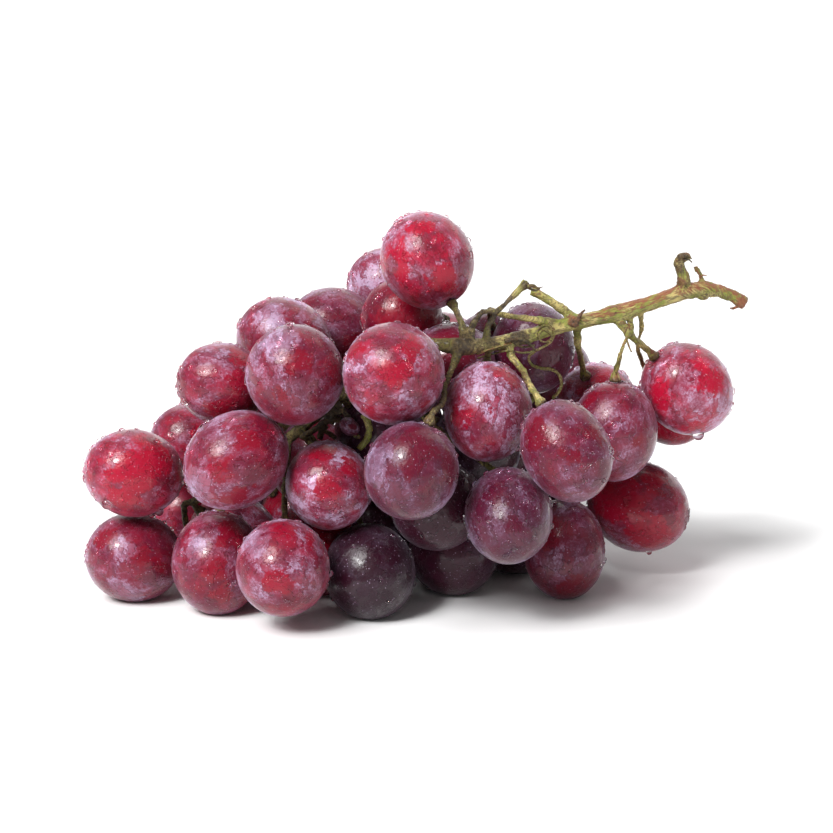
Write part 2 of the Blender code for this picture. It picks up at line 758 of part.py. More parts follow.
def build_stem(network, shift, collection):
    """The main stem and all its side stems, joined into one solid."""
    tubes = make_collection("stem tubes")
    pieces = []
    for number, chain in enumerate(network.chains):
        points = [network.points[i] + shift for i in chain]
        radii = [network.radii[i] for i in chain]
        if number and number > len(TWIGS):
            radii[0] = min(radii[0], radii[1])
        home = tubes if number else collection
        sides = TWIG_SIDES if number else RACHIS_SIDES
        pieces.append(build_tube("stem" if number == 0 else f"tube_{number}", points, radii, sides, home))
    stem = pieces[0]
    join = stem.modifiers.new("join", "BOOLEAN")
    join.operation = "UNION"
    join.operand_type = "COLLECTION"
    join.collection = tubes
    join.solver = "MANIFOLD"
    bpy.context.view_layer.update()
    mesh = bpy.data.meshes.new_from_object(stem.evaluated_get(bpy.context.evaluated_depsgraph_get()))
    stem.modifiers.clear()
    stem.data = mesh
    mesh.name = "stem"
    for piece in pieces[1:]:
        bpy.data.objects.remove(piece, do_unlink=True)
    bpy.data.collections.remove(tubes)
    mesh.materials.clear()
    mesh.materials.append(make_material("stem_bark", STEM_BARK))
    mesh.shade_smooth()
    mesh.set_sharp_from_angle(angle=math.radians(60))
    return stem


def centring_shift(berries, network):
    """Moves the middle of the bunch's outer box to x = 0, y = 0. The table is at z = 0 already."""
    low = Vector((1e9, 1e9))
    high = -low
    for berry in berries.values():
        for i in (0, 1):
            way = Vector((1 - i, i, 0))
            low[i] = min(low[i], berry.centre[i] - berry.reach(way))
            high[i] = max(high[i], berry.centre[i] + berry.reach(way))
    for point, radius in zip(network.points, network.radii):
        for i in (0, 1):
            low[i] = min(low[i], point[i] - radius)
            high[i] = max(high[i], point[i] + radius)
    return Vector((-(low.x + high.x) / 2, -(low.y + high.y) / 2, 0.0))


def main():
    clear_scene()
    berries, rachis, network = layout()
    shift = centring_shift(berries, network)
    collection = make_collection("grapes")
    for berry in berries.values():
        build_berry(berry, shift, collection)
    build_stem(network, shift, collection)


if __name__ == "__main__":
    main()
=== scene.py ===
"""A wet bunch of large red grapes on a pale floor, in soft studio light."""

import math
import random

import bmesh
import bpy
import numpy as np
from mathutils import Matrix, Vector, noise
from mathutils.bvhtree import BVHTree


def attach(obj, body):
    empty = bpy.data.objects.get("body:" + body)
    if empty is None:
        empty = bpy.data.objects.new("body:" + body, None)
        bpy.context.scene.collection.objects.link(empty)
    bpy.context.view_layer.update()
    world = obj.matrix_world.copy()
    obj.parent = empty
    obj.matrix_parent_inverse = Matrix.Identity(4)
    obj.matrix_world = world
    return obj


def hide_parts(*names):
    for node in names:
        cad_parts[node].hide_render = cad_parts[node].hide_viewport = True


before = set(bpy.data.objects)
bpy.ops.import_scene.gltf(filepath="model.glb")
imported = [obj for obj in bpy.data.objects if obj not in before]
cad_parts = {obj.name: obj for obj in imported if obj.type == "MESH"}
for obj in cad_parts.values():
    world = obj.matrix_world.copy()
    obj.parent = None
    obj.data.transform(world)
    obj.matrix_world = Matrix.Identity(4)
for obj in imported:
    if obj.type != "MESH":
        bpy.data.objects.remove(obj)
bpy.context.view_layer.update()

MM = 0.001

# The viewer looks at the middle of the bunch from a little above.
AIM = Vector((-0.07, 3.69, 41.0)) * MM
EYE_DISTANCE_MM = 620
EYE_DISTANCE = EYE_DISTANCE_MM * MM
EYE_TILT = math.radians(13)
FORWARD = Vector((0, math.cos(EYE_TILT), -math.sin(EYE_TILT)))
UPWARD = Vector((0, math.sin(EYE_TILT), math.cos(EYE_TILT)))
SIDEWAYS = Vector((1, 0, 0))
EYE = AIM - FORWARD * EYE_DISTANCE
LENS = 104
FILM = 36

# Skin colours from the least ripe to the ripest, and the waxy bloom on them.
CRIMSON = (0.42, 0.003, 0.026)
BLOOD_RED = (0.175, 0.0015, 0.013)
PURPLE_RED = (0.075, 0.002, 0.017)
NEAR_BLACK = (0.012, 0.002, 0.007)
PINK_BLOOM = (0.63, 0.46, 0.65)
LAVENDER_BLOOM = (0.54, 0.42, 0.64)
SLATE_BLOOM = (0.12, 0.09, 0.135)
ROSE_VEIL = (0.48, 0.115, 0.23)
PLUM_VEIL = (0.21, 0.082, 0.16)
SOOT_VEIL = (0.050, 0.033, 0.052)

# For each berry in sight: how ripe its skin is, from 0 to 1, how much bloom it keeps, and the patches where
# the bloom is rubbed off. A patch is to the right of and above the berry's middle as the viewer sees it,
# in radii, and so is its size. Where the size is below 0, the bloom lies thick there instead; as most of
# these lie on the berries' left, they are partly thick bloom and partly a painted paler lit side.
LOOKS = {
    "tip_upper": (0.05, 0.64, [(0.15, 0.05, 0.50), (0.55, 0.40, 0.42), (-0.1, -0.55, 0.35)]),
    "tip_lower": (
        0.29, 0.56,
        [(-0.50, 0.50, 0.30), (0.30, 0.05, 0.18), (0.65, -0.15, 0.15), (-0.10, 0.25, -0.28), (-0.1, -0.75, -0.35)],
    ),
    "front_low_1": (0.27, 0.50, [(0.0, -0.02, 0.26), (0.35, 0.60, 0.34), (0.2, -0.5, 0.2), (-0.45, 0.35, -0.28)]),
    "front_low_2": (0.20, 0.72, [(0.05, 0.85, 0.26), (0.62, 0.62, 0.18), (-0.02, -0.14, 0.30), (-0.60, 0.55, -0.40)]),
    "front_low_3": (0.95, 0.42, [(0.0, 0.3, 0.30), (-0.6, -0.2, 0.25), (0.5, 0.5, 0.2)]),
    "front_low_4": (0.19, 1.20, [(-0.10, 0.80, 0.28), (0.50, 0.45, 0.22), (0.0, 0.05, 0.26)]),
    "front_centre": (0.54, 0.54, [(0.15, 0.55, 0.42), (0.78, 0.10, 0.34), (0.0, 0.08, 0.24), (-0.78, 0.20, -0.40)]),
    "core_dark": (0.86, 0.06, [(0.2, 0.5, 0.3)]),
    "low_dark": (0.82, 0.36, [(-0.3, 0.5, 0.4)]),
    "front_mid_1": (0.64, 0.54, [(0.05, -0.02, 0.16), (-0.3, 0.6, 0.30), (0.3, -0.6, 0.12)]),
    "front_mid_2": (0.21, 0.94, [(-0.62, -0.05, 0.26), (0.45, 0.72, 0.28), (0.05, 0.12, 0.10)]),
    "front_mid_3": (0.41, 0.56, [(-0.68, 0.30, 0.34), (0.58, 0.42, 0.22), (0.05, -0.05, 0.14)]),
    "left_mid": (0.24, 0.68, [(0.30, 0.40, 0.22), (-0.18, -0.08, 0.20), (0.15, -0.70, 0.28), (-0.70, -0.40, -0.42)]),
    "left_upper": (0.18, 0.70, [(0.45, 0.02, 0.30), (0.50, 0.60, 0.26), (0.0, -0.65, 0.30)]),
    "left_back": (0.22, 0.55, [(0.5, 0.2, 0.4)]),
    "top_left": (0.25, 0.78, [(0.7, 0.1, 0.3), (-0.2, 0.6, -0.38)]),
    "top_front_2": (0.29, 0.62, [(0.10, 0.25, 0.26), (0.80, 0.15, 0.30), (-0.2, -0.4, 0.12), (-0.35, 0.60, -0.40)]),
    "top_front_1": (0.13, 1.08, [(0.02, -0.02, 0.30), (-0.76, 0.44, 0.22), (0.42, 0.50, 0.22), (-0.45, -0.76, 0.20)]),
    "top_back_1": (0.34, 0.55, [(0.6, -0.4, 0.4)]),
    "top_back_2": (0.15, 1.40, [(0.2, -0.5, 0.2)]),
    "top_under": (0.24, 0.06, [(0.0, 0.0, 0.6), (0.5, -0.3, 0.5)]),
    "top": (0.03, 0.76, [(-0.62, 0.10, 0.28), (0.35, -0.42, 0.30), (-0.10, 0.62, 0.26), (-0.55, -0.35, 0.20)]),
    "right_end": (0.00, 0.98, [(0.40, 0.30, 0.34), (-0.62, -0.20, 0.30), (0.05, -0.80, 0.24)]),
    "right_end_back": (0.14, 0.34, [(0.0, -0.6, 0.5)]),
    "right_mid": (0.32, 0.62, [(-0.6, 0.6, 0.2), (0.4, -0.2, 0.12)]),
    # right_back: an unripe skin and the thickest bloom, paler than its own colour, as painted light over the shadow
    # that the stem and the berries above cast on it.
    "right_back": (0.05, 1.40, [(0.0, 0.6, 0.2)]),
    "right_outer": (0.15, 0.58, [(-0.55, 0.2, 0.55), (0.1, -0.55, 0.45), (0.3, 0.6, 0.3)]),
    "right_low": (0.40, 0.58, [(-0.4, 0.4, 0.35), (0.2, -0.7, 0.35)]),
    "under_stem_1": (0.44, 0.66, [(0.0, 0.3, 0.5)]),
    "under_stem_2": (0.62, 0.56, [(0.4, -0.3, 0.3), (-0.5, -0.5, 0.3)]),
    "under_stem_3": (0.50, 0.44, [(0.0, 0.3, 0.5)]),
}
# The hidden berries that are purple and nearly black. The others are red.
PURPLE_BEHIND = {"back_mid_4", "back_mid_5", "back_mid_6", "back_low_4", "back_low_5", "core_2"}
DARK_BEHIND = {"core_1", "core_4", "floor_5", "floor_6", "floor_7", "floor_9"}

BERRY_SIDES = 64
BERRY_RINGS = 44
# How uneven a berry is, in parts of its radius.
LUMP = 0.012
# At the stalk's pole (1) and at the other (-1): how far the skin is moved along the axis, and how far round
# the pole that reaches, in radii.
DIMPLES = ((1, -0.060, 0.42), (-1, 0.020, 0.16), (-1, -0.016, 0.05))
SHOT_BERRY_HALVES = (2.0, 2.0, 2.7)
HIDDEN_PATCHES = (0.45, 0.32, 0.22)
SKIN_SEED = 11
DROP_SEED = 5

# The waxy bloom: what rubbing and wetting take off, what a thick patch adds (thick bloom, partly a painted
# paler lit side), how much of it shows on the face of a berry, how strong the painted sheen towards a berry's
# outline is, and how strong the pale specks in the skin are, partly lenticels and partly painted glints.
RUBBED_OFF = 0.92
WETTED_OFF = 0.45
THICK_BLOOM_AND_PAINTED_LIGHT = 0.36
BLOOM_SHOWS = 0.68
PAINTED_RIM_SHEEN = 0.46
SPECK_AND_GLINT_SHOWS = 0.50
# How strong the painted glint and the painted shade along the edges of the film of water are, and how high the film
# stands, in metres.
PAINTED_GLINT_EDGE = 0.06
PAINTED_SHADE_EDGE = 0.20
FILM_HEIGHT = 0.00034


def in_sight(right, above, depth):
    """The point on the line of sight through (right, above), in millimetres, at that depth."""
    ray = FORWARD * EYE_DISTANCE_MM + SIDEWAYS * right + UPWARD * above
    return EYE + ray * ((depth * MM + AIM.y - EYE.y) / ray.y)


def only_select(*pieces):
    """Selects these pieces and nothing else, the first one active."""
    bpy.ops.object.select_all(action="DESELECT")
    for piece in pieces:
        piece.select_set(True)
    bpy.context.view_layer.objects.active = pieces[0]


def add(tree, kind, inputs=None, **settings):
    """Adds a node, sets it up, and fills or links its inputs."""
    made = tree.nodes.new(kind)
    for name, value in settings.items():
        setattr(made, name, value)
    for key, value in (inputs or {}).items():
        if isinstance(value, bpy.types.NodeSocket):
            tree.links.new(value, made.inputs[key])
        else:
            made.inputs[key].default_value = value
    return made


def math_node(tree, operation, *values, clamp=False):
    """The result of a Math node on these values or sockets."""
    return add(tree, "ShaderNodeMath", dict(enumerate(values)), operation=operation, use_clamp=clamp).outputs[0]


def noise_node(tree, place, scale, detail, roughness):
    """The value of a Noise Texture."""
    settings = {"Vector": place, "Scale": scale, "Detail": detail, "Roughness": roughness}
    return add(tree, "ShaderNodeTexNoise", settings).outputs[0]


def remap(tree, value, low, high, to_low=0.0, to_high=1.0, soft=True):
    """A value between low and high, brought to the range between to_low and to_high."""
    kind = "SMOOTHSTEP" if soft else "LINEAR"
    ends = {"Value": value, "From Min": low, "From Max": high, "To Min": to_low, "To Max": to_high}
    return add(tree, "ShaderNodeMapRange", ends, interpolation_type=kind).outputs[0]


def blend_colours(tree, share, one, other):
    """A colour between one and other: one where the share is 0, other where it is 1."""
    node = add(tree, "ShaderNodeMix", data_type="RGBA")
    for socket, value in zip((node.inputs[0], node.inputs[6], node.inputs[7]), (share, one, other)):
        if isinstance(value, bpy.types.NodeSocket):
            tree.links.new(value, socket)
        else:
            socket.default_value = value if isinstance(value, float) else (*value, 1.0)
    return node.outputs[2]


def new_group(name, takes, gives):
    """A node group with named inputs and outputs."""
    group = bpy.data.node_groups.new(name, "ShaderNodeTree")
    kinds = {"float": "NodeSocketFloat", "vector": "NodeSocketVector", "colour": "NodeSocketColor"}
    for label, kind in takes:
        group.interface.new_socket(label, in_out="INPUT", socket_type=kinds[kind])
    for label, kind in gives:
        group.interface.new_socket(label, in_out="OUTPUT", socket_type=kinds[kind])
    return group, group.nodes.new("NodeGroupInput").outputs, group.nodes.new("NodeGroupOutput").inputs


def use_group(tree, group, **inputs):
    """Places a node group in a material, with its own values."""
    node = tree.nodes.new("ShaderNodeGroup")
    node.node_tree = group
    for key, value in inputs.items():
        if isinstance(value, bpy.types.NodeSocket):
            tree.links.new(value, node.inputs[key])
        else:
            node.inputs[key].default_value = value
    return node.outputs


def narrow_band(tree, value, centre, half):
    """A mask that is 1 where a value is the centre, and falls to 0 at half away from it."""
    apart = math_node(tree, "ABSOLUTE", math_node(tree, "SUBTRACT", value, centre))
    return remap(tree, apart, half, half * 0.3)


def make_worn_patch():
    """A patch with a torn edge where fingers or a neighbour rubbed the bloom off."""
    tree, takes, gives = new_group(
        "worn patch",
        [("Place", "vector"), ("Pattern", "vector"), ("Centre", "vector"), ("Size", "float")],
        [("Mask", "float")],
    )
    apart = add(tree, "ShaderNodeVectorMath", {0: takes["Place"], 1: takes["Centre"]}, operation="DISTANCE")
    torn = noise_node(tree, takes["Pattern"], 2.9, 8.0, 0.66)
    edge = math_node(tree, "MULTIPLY_ADD", torn, 1.1, -0.55)
    reach = math_node(tree, "ADD", apart.outputs["Value"], edge)
    inner = math_node(tree, "SUBTRACT", takes["Size"], 0.05)
    outer = math_node(tree, "ADD", takes["Size"], 0.04)
    tree.links.new(remap(tree, reach, outer, inner), gives["Mask"])
    return tree


def make_bloom():
    """How thick the waxy bloom lies: clouds with torn edges, fine grain, and where a film of water wets it."""
    tree, takes, gives = new_group(
        "waxy bloom",
        [("Pattern", "vector"), ("Worn", "float"), ("Wet", "float"), ("Amount", "float")],
        [("Mask", "float")],
    )
    place = takes["Pattern"]
    cloudy = remap(tree, noise_node(tree, place, 1.25, 6.0, 0.56), 0.37, 0.63, 0.18, 1.0)
    rubbed = add(tree, "ShaderNodeMapping", {"Vector": place, "Scale": (1.0, 1.0, 0.30)}).outputs[0]
    wiped = remap(tree, noise_node(tree, rubbed, 3.6, 7.0, 0.60), 0.38, 0.60, 0.60, 1.08)
    grain = remap(tree, noise_node(tree, place, 18.0, 8.0, 0.78), 0.40, 0.60, 0.60, 1.22)
    grainy = math_node(tree, "MULTIPLY", wiped, grain)
    bare = math_node(tree, "MULTIPLY_ADD", takes["Worn"], -RUBBED_OFF, 1.0)
    dry = math_node(tree, "MULTIPLY_ADD", takes["Wet"], -WETTED_OFF, 1.0)
    kept = math_node(tree, "MULTIPLY", bare, dry)
    lay = math_node(tree, "MULTIPLY", math_node(tree, "MULTIPLY", cloudy, grainy), kept)
    tree.links.new(math_node(tree, "MULTIPLY", lay, takes["Amount"], clamp=True), gives["Mask"])
    return tree


def make_beading():
    """Where a film of water lies on the skin, how high it and the finest beads stand, and a painted glint and a
    painted shade along its edges and trails.
    """
    tree, takes, gives = new_group(
        "water film",
        [("Pattern", "vector")],
        [("Height", "float"), ("Film", "float"), ("PaintedGlint", "float"), ("PaintedShade", "float")],
    )
    place = takes["Pattern"]
    wobble = add(tree, "ShaderNodeTexNoise", {"Vector": place, "Scale": 5.0, "Detail": 3.0, "Roughness": 0.6})
    push = {0: wobble.outputs["Color"], 1: (0.22, 0.22, 0.22), 2: place}
    warped = add(tree, "ShaderNodeVectorMath", push, operation="MULTIPLY_ADD").outputs[0]
    runs = add(tree, "ShaderNodeMapping", {"Vector": warped, "Scale": (1.0, 1.0, 0.62)}).outputs[0]
    sheet = noise_node(tree, runs, 4.6, 2.5, 0.5)
    film = remap(tree, sheet, 0.535, 0.560)
    path = noise_node(tree, warped, 6.2, 1.0, 0.5)
    wet = remap(tree, noise_node(tree, place, 2.3, 2.0, 0.5), 0.50, 0.58)
    trail = math_node(tree, "MULTIPLY", narrow_band(tree, path, 0.500, 0.030), wet)
    # The pale side of a trail and of the film's edge is a painted glint, the dark side a painted shade.
    painted_shade_trail = math_node(tree, "MULTIPLY", narrow_band(tree, path, 0.548, 0.030), wet)
    painted_glint_shore = narrow_band(tree, sheet, 0.518, 0.022)
    painted_shade_shore = narrow_band(tree, sheet, 0.556, 0.024)
    beads = remap(tree, noise_node(tree, place, 34.0, 2.0, 0.5), 0.60, 0.72)
    thick = math_node(tree, "MULTIPLY_ADD", beads, 0.35, math_node(tree, "MULTIPLY_ADD", trail, 0.55, film))
    ripple = math_node(tree, "MULTIPLY_ADD", sheet, 0.8, thick)
    tree.links.new(ripple, gives["Height"])
    tree.links.new(math_node(tree, "MAXIMUM", film, trail), gives["Film"])
    tree.links.new(math_node(tree, "MAXIMUM", trail, painted_glint_shore), gives["PaintedGlint"])
    tree.links.new(math_node(tree, "MAXIMUM", painted_shade_trail, painted_shade_shore), gives["PaintedShade"])
    return tree


def in_picture(right, above):
    """The direction from a berry's middle to the spot that the viewer sees there."""
    towards = math.sqrt(max(0.0, 1 - right * right - above * above))
    return (SIDEWAYS * right + UPWARD * above - FORWARD * towards).normalized()


def between(one, other, share):
    """A colour that is that share of the way from one to other."""
    return tuple(a + (b - a) * share for a, b in zip(one, other))


def ripened(share, tones):
    """A colour along a row of tones, from the least ripe to the ripest."""
    spot = min(share, 0.9999) * (len(tones) - 1)
    return between(tones[int(spot)], tones[int(spot) + 1], spot - int(spot))


def make_skin(name, ripeness, bloom, patches, shift):
    """Grape skin: a red that deepens with ripeness under a waxy bloom and a film of water, with a painted sheen
    towards the outline, painted glints and painted shade.
    """
    material = bpy.data.materials.new(name + "_skin")
    material.use_nodes = True
    tree = material.node_tree
    shader = tree.nodes["Principled BSDF"]
    place = add(tree, "ShaderNodeAttribute", attribute_name="skin_place").outputs["Vector"]
    turn = tuple(way / 12 for way in shift)
    pattern = add(tree, "ShaderNodeMapping", {"Vector": place, "Location": shift, "Rotation": turn}).outputs[0]
    worn = thick_bloom_and_painted_light = 0.0
    for direction, size in patches:
        mask = use_group(tree, WORN_PATCH, Place=place, Pattern=pattern, Centre=direction, Size=abs(size))["Mask"]
        if size > 0:
            worn = math_node(tree, "MAXIMUM", worn, mask)
        else:
            thick_bloom_and_painted_light = math_node(tree, "MAXIMUM", thick_bloom_and_painted_light, mask)
    water = use_group(tree, BEADING, Pattern=pattern)
    lay = use_group(tree, BLOOM, Pattern=pattern, Worn=worn, Wet=water["Film"], Amount=bloom)["Mask"]
    # A thick patch adds bloom; most lie on the left, where they also paint a paler lit side.
    lay = math_node(tree, "MULTIPLY_ADD", thick_bloom_and_painted_light, THICK_BLOOM_AND_PAINTED_LIGHT, lay, clamp=True)
    flush = noise_node(tree, pattern, 2.1, 9.0, 0.66)
    deep = ripened(ripeness, (BLOOD_RED, PURPLE_RED, NEAR_BLACK))
    bright = ripened(ripeness, (CRIMSON, BLOOD_RED, PURPLE_RED, NEAR_BLACK))
    ripe_here = math_node(tree, "MULTIPLY_ADD", worn, 0.14, flush)
    flesh = blend_colours(tree, remap(tree, ripe_here, 0.40, 0.64), deep, bright)
    veil = ripened(ripeness, (ROSE_VEIL, PLUM_VEIL, SOOT_VEIL))
    dust = ripened(ripeness, (PINK_BLOOM, LAVENDER_BLOOM, SLATE_BLOOM))
    # Painted sheen: more bloom colour towards the outline as the viewer sees it, in place of the white room's
    # reflection at grazing angles, stronger where the bloom lies.
    edge = add(tree, "ShaderNodeLayerWeight", {"Blend": 0.5}).outputs["Facing"]
    painted_rim_sheen = remap(tree, edge, 0.45, 0.98, 0.0, PAINTED_RIM_SHEEN)
    thick = math_node(tree, "MULTIPLY", math_node(tree, "MULTIPLY_ADD", lay, 0.7, 0.3), painted_rim_sheen)
    # Painted glints along the water's trails and the edges of its film.
    painted_sheen_and_glint = math_node(tree, "MULTIPLY_ADD", water["PaintedGlint"], PAINTED_GLINT_EDGE, thick)
    bloom_and_painted_light = math_node(tree, "MULTIPLY_ADD", lay, BLOOM_SHOWS, painted_sheen_and_glint, clamp=True)
    waxy = blend_colours(tree, remap(tree, bloom_and_painted_light, 0.08, 0.70, 0.0, 1.0), veil, dust)
    covered = blend_colours(tree, bloom_and_painted_light, flesh, waxy)
    # Pale specks: partly lenticels, partly painted glints of fine drops of water.
    specks = add(tree, "ShaderNodeTexVoronoi", {"Vector": pattern, "Scale": 11.0, "Randomness": 1.0})
    speck_and_glint = remap(tree, specks.outputs["Distance"], 0.17, 0.08, 0.0, SPECK_AND_GLINT_SHOWS)
    with_specks_and_glints = blend_colours(tree, speck_and_glint, covered, between(bright, PINK_BLOOM, 0.8))
    # Painted shade along the dark side of the water's trails and film edges.
    painted_trail_shade = math_node(tree, "MULTIPLY", water["PaintedShade"], PAINTED_SHADE_EDGE)
    colour = blend_colours(tree, painted_trail_shade, with_specks_and_glints, between(deep, NEAR_BLACK, 0.3))
    tree.links.new(colour, shader.inputs["Base Color"])
    tree.links.new(math_node(tree, "MULTIPLY_ADD", lay, 0.18, 0.29), shader.inputs["Roughness"])
    bump = add(tree, "ShaderNodeBump", {"Height": water["Height"], "Strength": 0.75, "Distance": FILM_HEIGHT})
    tree.links.new(bump.outputs[0], shader.inputs["Normal"])
    tree.links.new(math_node(tree, "MULTIPLY_ADD", water["Film"], 0.55, 0.22), shader.inputs["Coat Weight"])
    shader.inputs["Subsurface Weight"].default_value = 0.16 * (1 - ripeness)
    shader.inputs["Subsurface Radius"].default_value = (1.0, 0.16, 0.16)
    shader.inputs["Subsurface Scale"].default_value = 0.0030
    shader.inputs["IOR"].default_value = 1.42
    shader.inputs["Specular IOR Level"].default_value = 0.42
    shader.inputs["Coat Roughness"].default_value = 0.07
    shader.inputs["Coat IOR"].default_value = 1.33
    shader.inputs["Sheen Weight"].default_value = 0.10
    shader.inputs["Sheen Roughness"].default_value = 0.35
    shader.inputs["Sheen Tint"].default_value = (0.86, 0.80, 0.95, 1.0)
    return material


def read_berry(node):
    """Fits a spheroid to a solid's corners: its middle, the way to its stalk, half its length and width.

    The corners on the floor are left out. The first fit finds the dimple at the stalk, which is the corner
    that lies deepest, and the second does without it."""
    corners = np.unique(np.round(np.array([vertex.co for vertex in node.data.vertices]) / MM, 4), axis=0)
    whole = corners[corners[:, 2] > 0.05]
    for second in (False, True):
        x, y, z = (whole - whole.mean(axis=0)).T
        terms = np.stack([x * x, y * y, z * z, x * y, x * z, y * z, x, y, z], axis=1)
        a, b, c, d, e, f, g, h, i = np.linalg.lstsq(terms, np.ones(len(x)), rcond=None)[0]
        form = np.array([[a, d / 2, e / 2], [d / 2, b, f / 2], [e / 2, f / 2, c]])
        middle = np.linalg.solve(form, np.array([g, h, i]) * -0.5)
        form = form / (1 + middle @ form @ middle)
        middle = middle + whole.mean(axis=0)
        offset = whole - middle
        level = np.einsum("ij,jk,ik->i", offset, form, offset)
        dimple = whole[level.argmin()]
        whole = whole[level > level.min() + 1e-6]
        if not second:
            stalk = Vector(dimple - middle).normalized()
    spread, ways = np.linalg.eigh(form)
    halves = 1 / np.sqrt(spread)
    nearest = int(np.abs(ways.T @ np.array(stalk)).argmax())
    others = [halves[n] for n in range(3) if n != nearest]
    axis = Vector(ways[:, nearest])
    if axis.dot(stalk) < 0:
        axis = -axis
    return Vector(middle) * MM, axis, halves[nearest] * MM, sum(others) / 2 * MM


def model_berry():
    """One grape of unit size with its stalk up: a dimple round the stalk, and a small scar at the other end."""
    bpy.ops.mesh.primitive_uv_sphere_add(segments=BERRY_SIDES, ring_count=BERRY_RINGS, radius=1.0)
    berry = bpy.context.object
    only_select(berry)
    bpy.ops.object.mode_set(mode="EDIT")
    for pole, shift, reach in DIMPLES:
        bpy.ops.mesh.select_all(action="DESELECT")
        shape = bmesh.from_edit_mesh(berry.data)
        for vertex in shape.verts:
            vertex.select = vertex.co.z * pole > 0.97 and vertex.co.xy.length < 1e-4
        shape.select_flush_mode()
        bmesh.update_edit_mesh(berry.data)
        bpy.ops.transform.translate(
            value=(0, 0, shift),
            use_proportional_edit=True,
            proportional_edit_falloff="SMOOTH",
            proportional_size=reach,
        )
    bpy.ops.object.mode_set(mode="OBJECT")
    bpy.ops.object.shade_smooth()
    return berry


def place_berry(master, name):
    """A copy of the grape, turned to its stalk, slightly uneven, and flat where it lies on the floor."""
    middle, axis, long, wide = read_berry(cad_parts[name])
    mesh = master.data.copy()
    mesh.name = name + "_grape"
    turn = axis.to_track_quat("Z", "Y").to_matrix()
    places = []
    for vertex in mesh.vertices:
        lump = 1 + LUMP * noise.noise(vertex.co * 1.3 + middle * 400)
        offset = turn @ Vector((vertex.co.x * wide, vertex.co.y * wide, vertex.co.z * long)) * lump
        places.append(turn @ vertex.co.normalized())
        vertex.co = middle + offset
        vertex.co.z = max(vertex.co.z, 0.0)
    layer = mesh.attributes.new("skin_place", "FLOAT_VECTOR", "POINT")
    layer.data.foreach_set("vector", [number for place in places for number in place])
    piece = bpy.data.objects.new(name + "_grape", mesh)
    bpy.context.scene.collection.objects.link(piece)
    return piece, (middle, axis, long, wide)


def look_of(name, draw):
    """Ripeness, bloom and worn patches: as seen for the berries in sight, drawn by lot for the others."""
    if name in LOOKS:
        ripeness, bloom, spots = LOOKS[name]
        return ripeness, bloom, [(in_picture(right, above), size) for right, above, size in spots]
    low = 0.75 if name in DARK_BEHIND else 0.42 if name in PURPLE_BEHIND else 0.12
    patches = []
    for size in HIDDEN_PATCHES:
        way = Vector((draw.uniform(-1, 1), draw.uniform(-1, 1), draw.uniform(-1, 1)))
        patches.append((way.normalized(), size))
    return low + draw.uniform(0, 0.22), draw.uniform(0.5, 0.8), patches


def make_shot_berry(master):
    """A tiny berry that never grew, low between the front berries."""
    middle = in_sight(-17.2, -2.6, -30.6)
    mesh = master.data.copy()
    mesh.name = "shot_berry"
    stalk = Vector((0.62, -0.10, -0.48))
    turn = stalk.to_track_quat("Z", "Y").to_matrix()
    halves = Vector(SHOT_BERRY_HALVES)
    places = []
    for vertex in mesh.vertices:
        lump = 1 + 0.10 * noise.noise(vertex.co * 2.2)
        places.append(turn @ vertex.co.normalized())
        offset = turn @ (vertex.co * halves) * lump
        vertex.co = middle + offset * MM
    layer = mesh.attributes.new("skin_place", "FLOAT_VECTOR", "POINT")
    layer.data.foreach_set("vector", [number for place in places for number in place])
    piece = bpy.data.objects.new("shot_berry", mesh)
    bpy.context.scene.collection.objects.link(piece)
    mesh.materials.append(make_skin("shot_berry", 0.5, 0.8, [(Vector((0.3, -0.8, 0.2)), 0.4)], (3, 5, 7)))
    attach(piece, "root")


WORN_PATCH = make_worn_patch()
BLOOM = make_bloom()
BEADING = make_beading()


def make_grapes():
    """All berries, each with its own skin, and for each the middle, axis, half length and half width."""
    master = model_berry()
    draw = random.Random(SKIN_SEED)
    shapes = {}
    pieces = {}
    for name in sorted(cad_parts):
        if name == "stem":
            continue
        piece, shapes[name] = place_berry(master, name)
        shift = (draw.uniform(-40, 40), draw.uniform(-40, 40), draw.uniform(-40, 40))
        piece.data.materials.append(make_skin(name, *look_of(name, draw), shift))
        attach(piece, "root")
        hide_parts(name)
        pieces[name] = piece
    make_shot_berry(master)
    bpy.data.objects.remove(master, do_unlink=True)
    return shapes, pieces


# Drops of water on a berry: how many more a berry in sight has on the side that the viewer sees, how many
# every berry has, their least and greatest half width in millimetres, how much more common the small ones
# are, how many of them start a trail of drops, and how often a place for one is sought.
DROPS_IN_VIEW = 54
DROPS_ALL_OVER = 15
DROP_SIZES = (0.18, 0.85)
MOSTLY_SMALL = 2.2
TRAILS = 0.22
LONGEST_TRAIL = 3
TRIES_EACH = 12
# Drops that hang or cling at an edge: the berry, where the viewer sees them, to the right of and above the
# point that the viewer looks at, and the half width, all in millimetres.
HANGING_DROPS = [
    ("right_end", 73.0, -5.4, 1.5),
    ("tip_upper", -79.4, -22.5, 1.5),
    ("tip_upper", -68.0, -26.6, 0.9),
    ("tip_upper", -64.5, -27.0, 1.2),
    ("front_mid_2", 44.4, -21.5, 1.2),
    ("front_mid_2", 41.0, -22.6, 0.9),
    ("front_low_2", -21.6, -40.3, 0.9),
    ("front_mid_3", 21.6, 0.0, 0.9),
    ("top_front_1", -16.5, 5.4, 0.8),
    ("right_outer", 60.0, -36.0, 0.8),
]


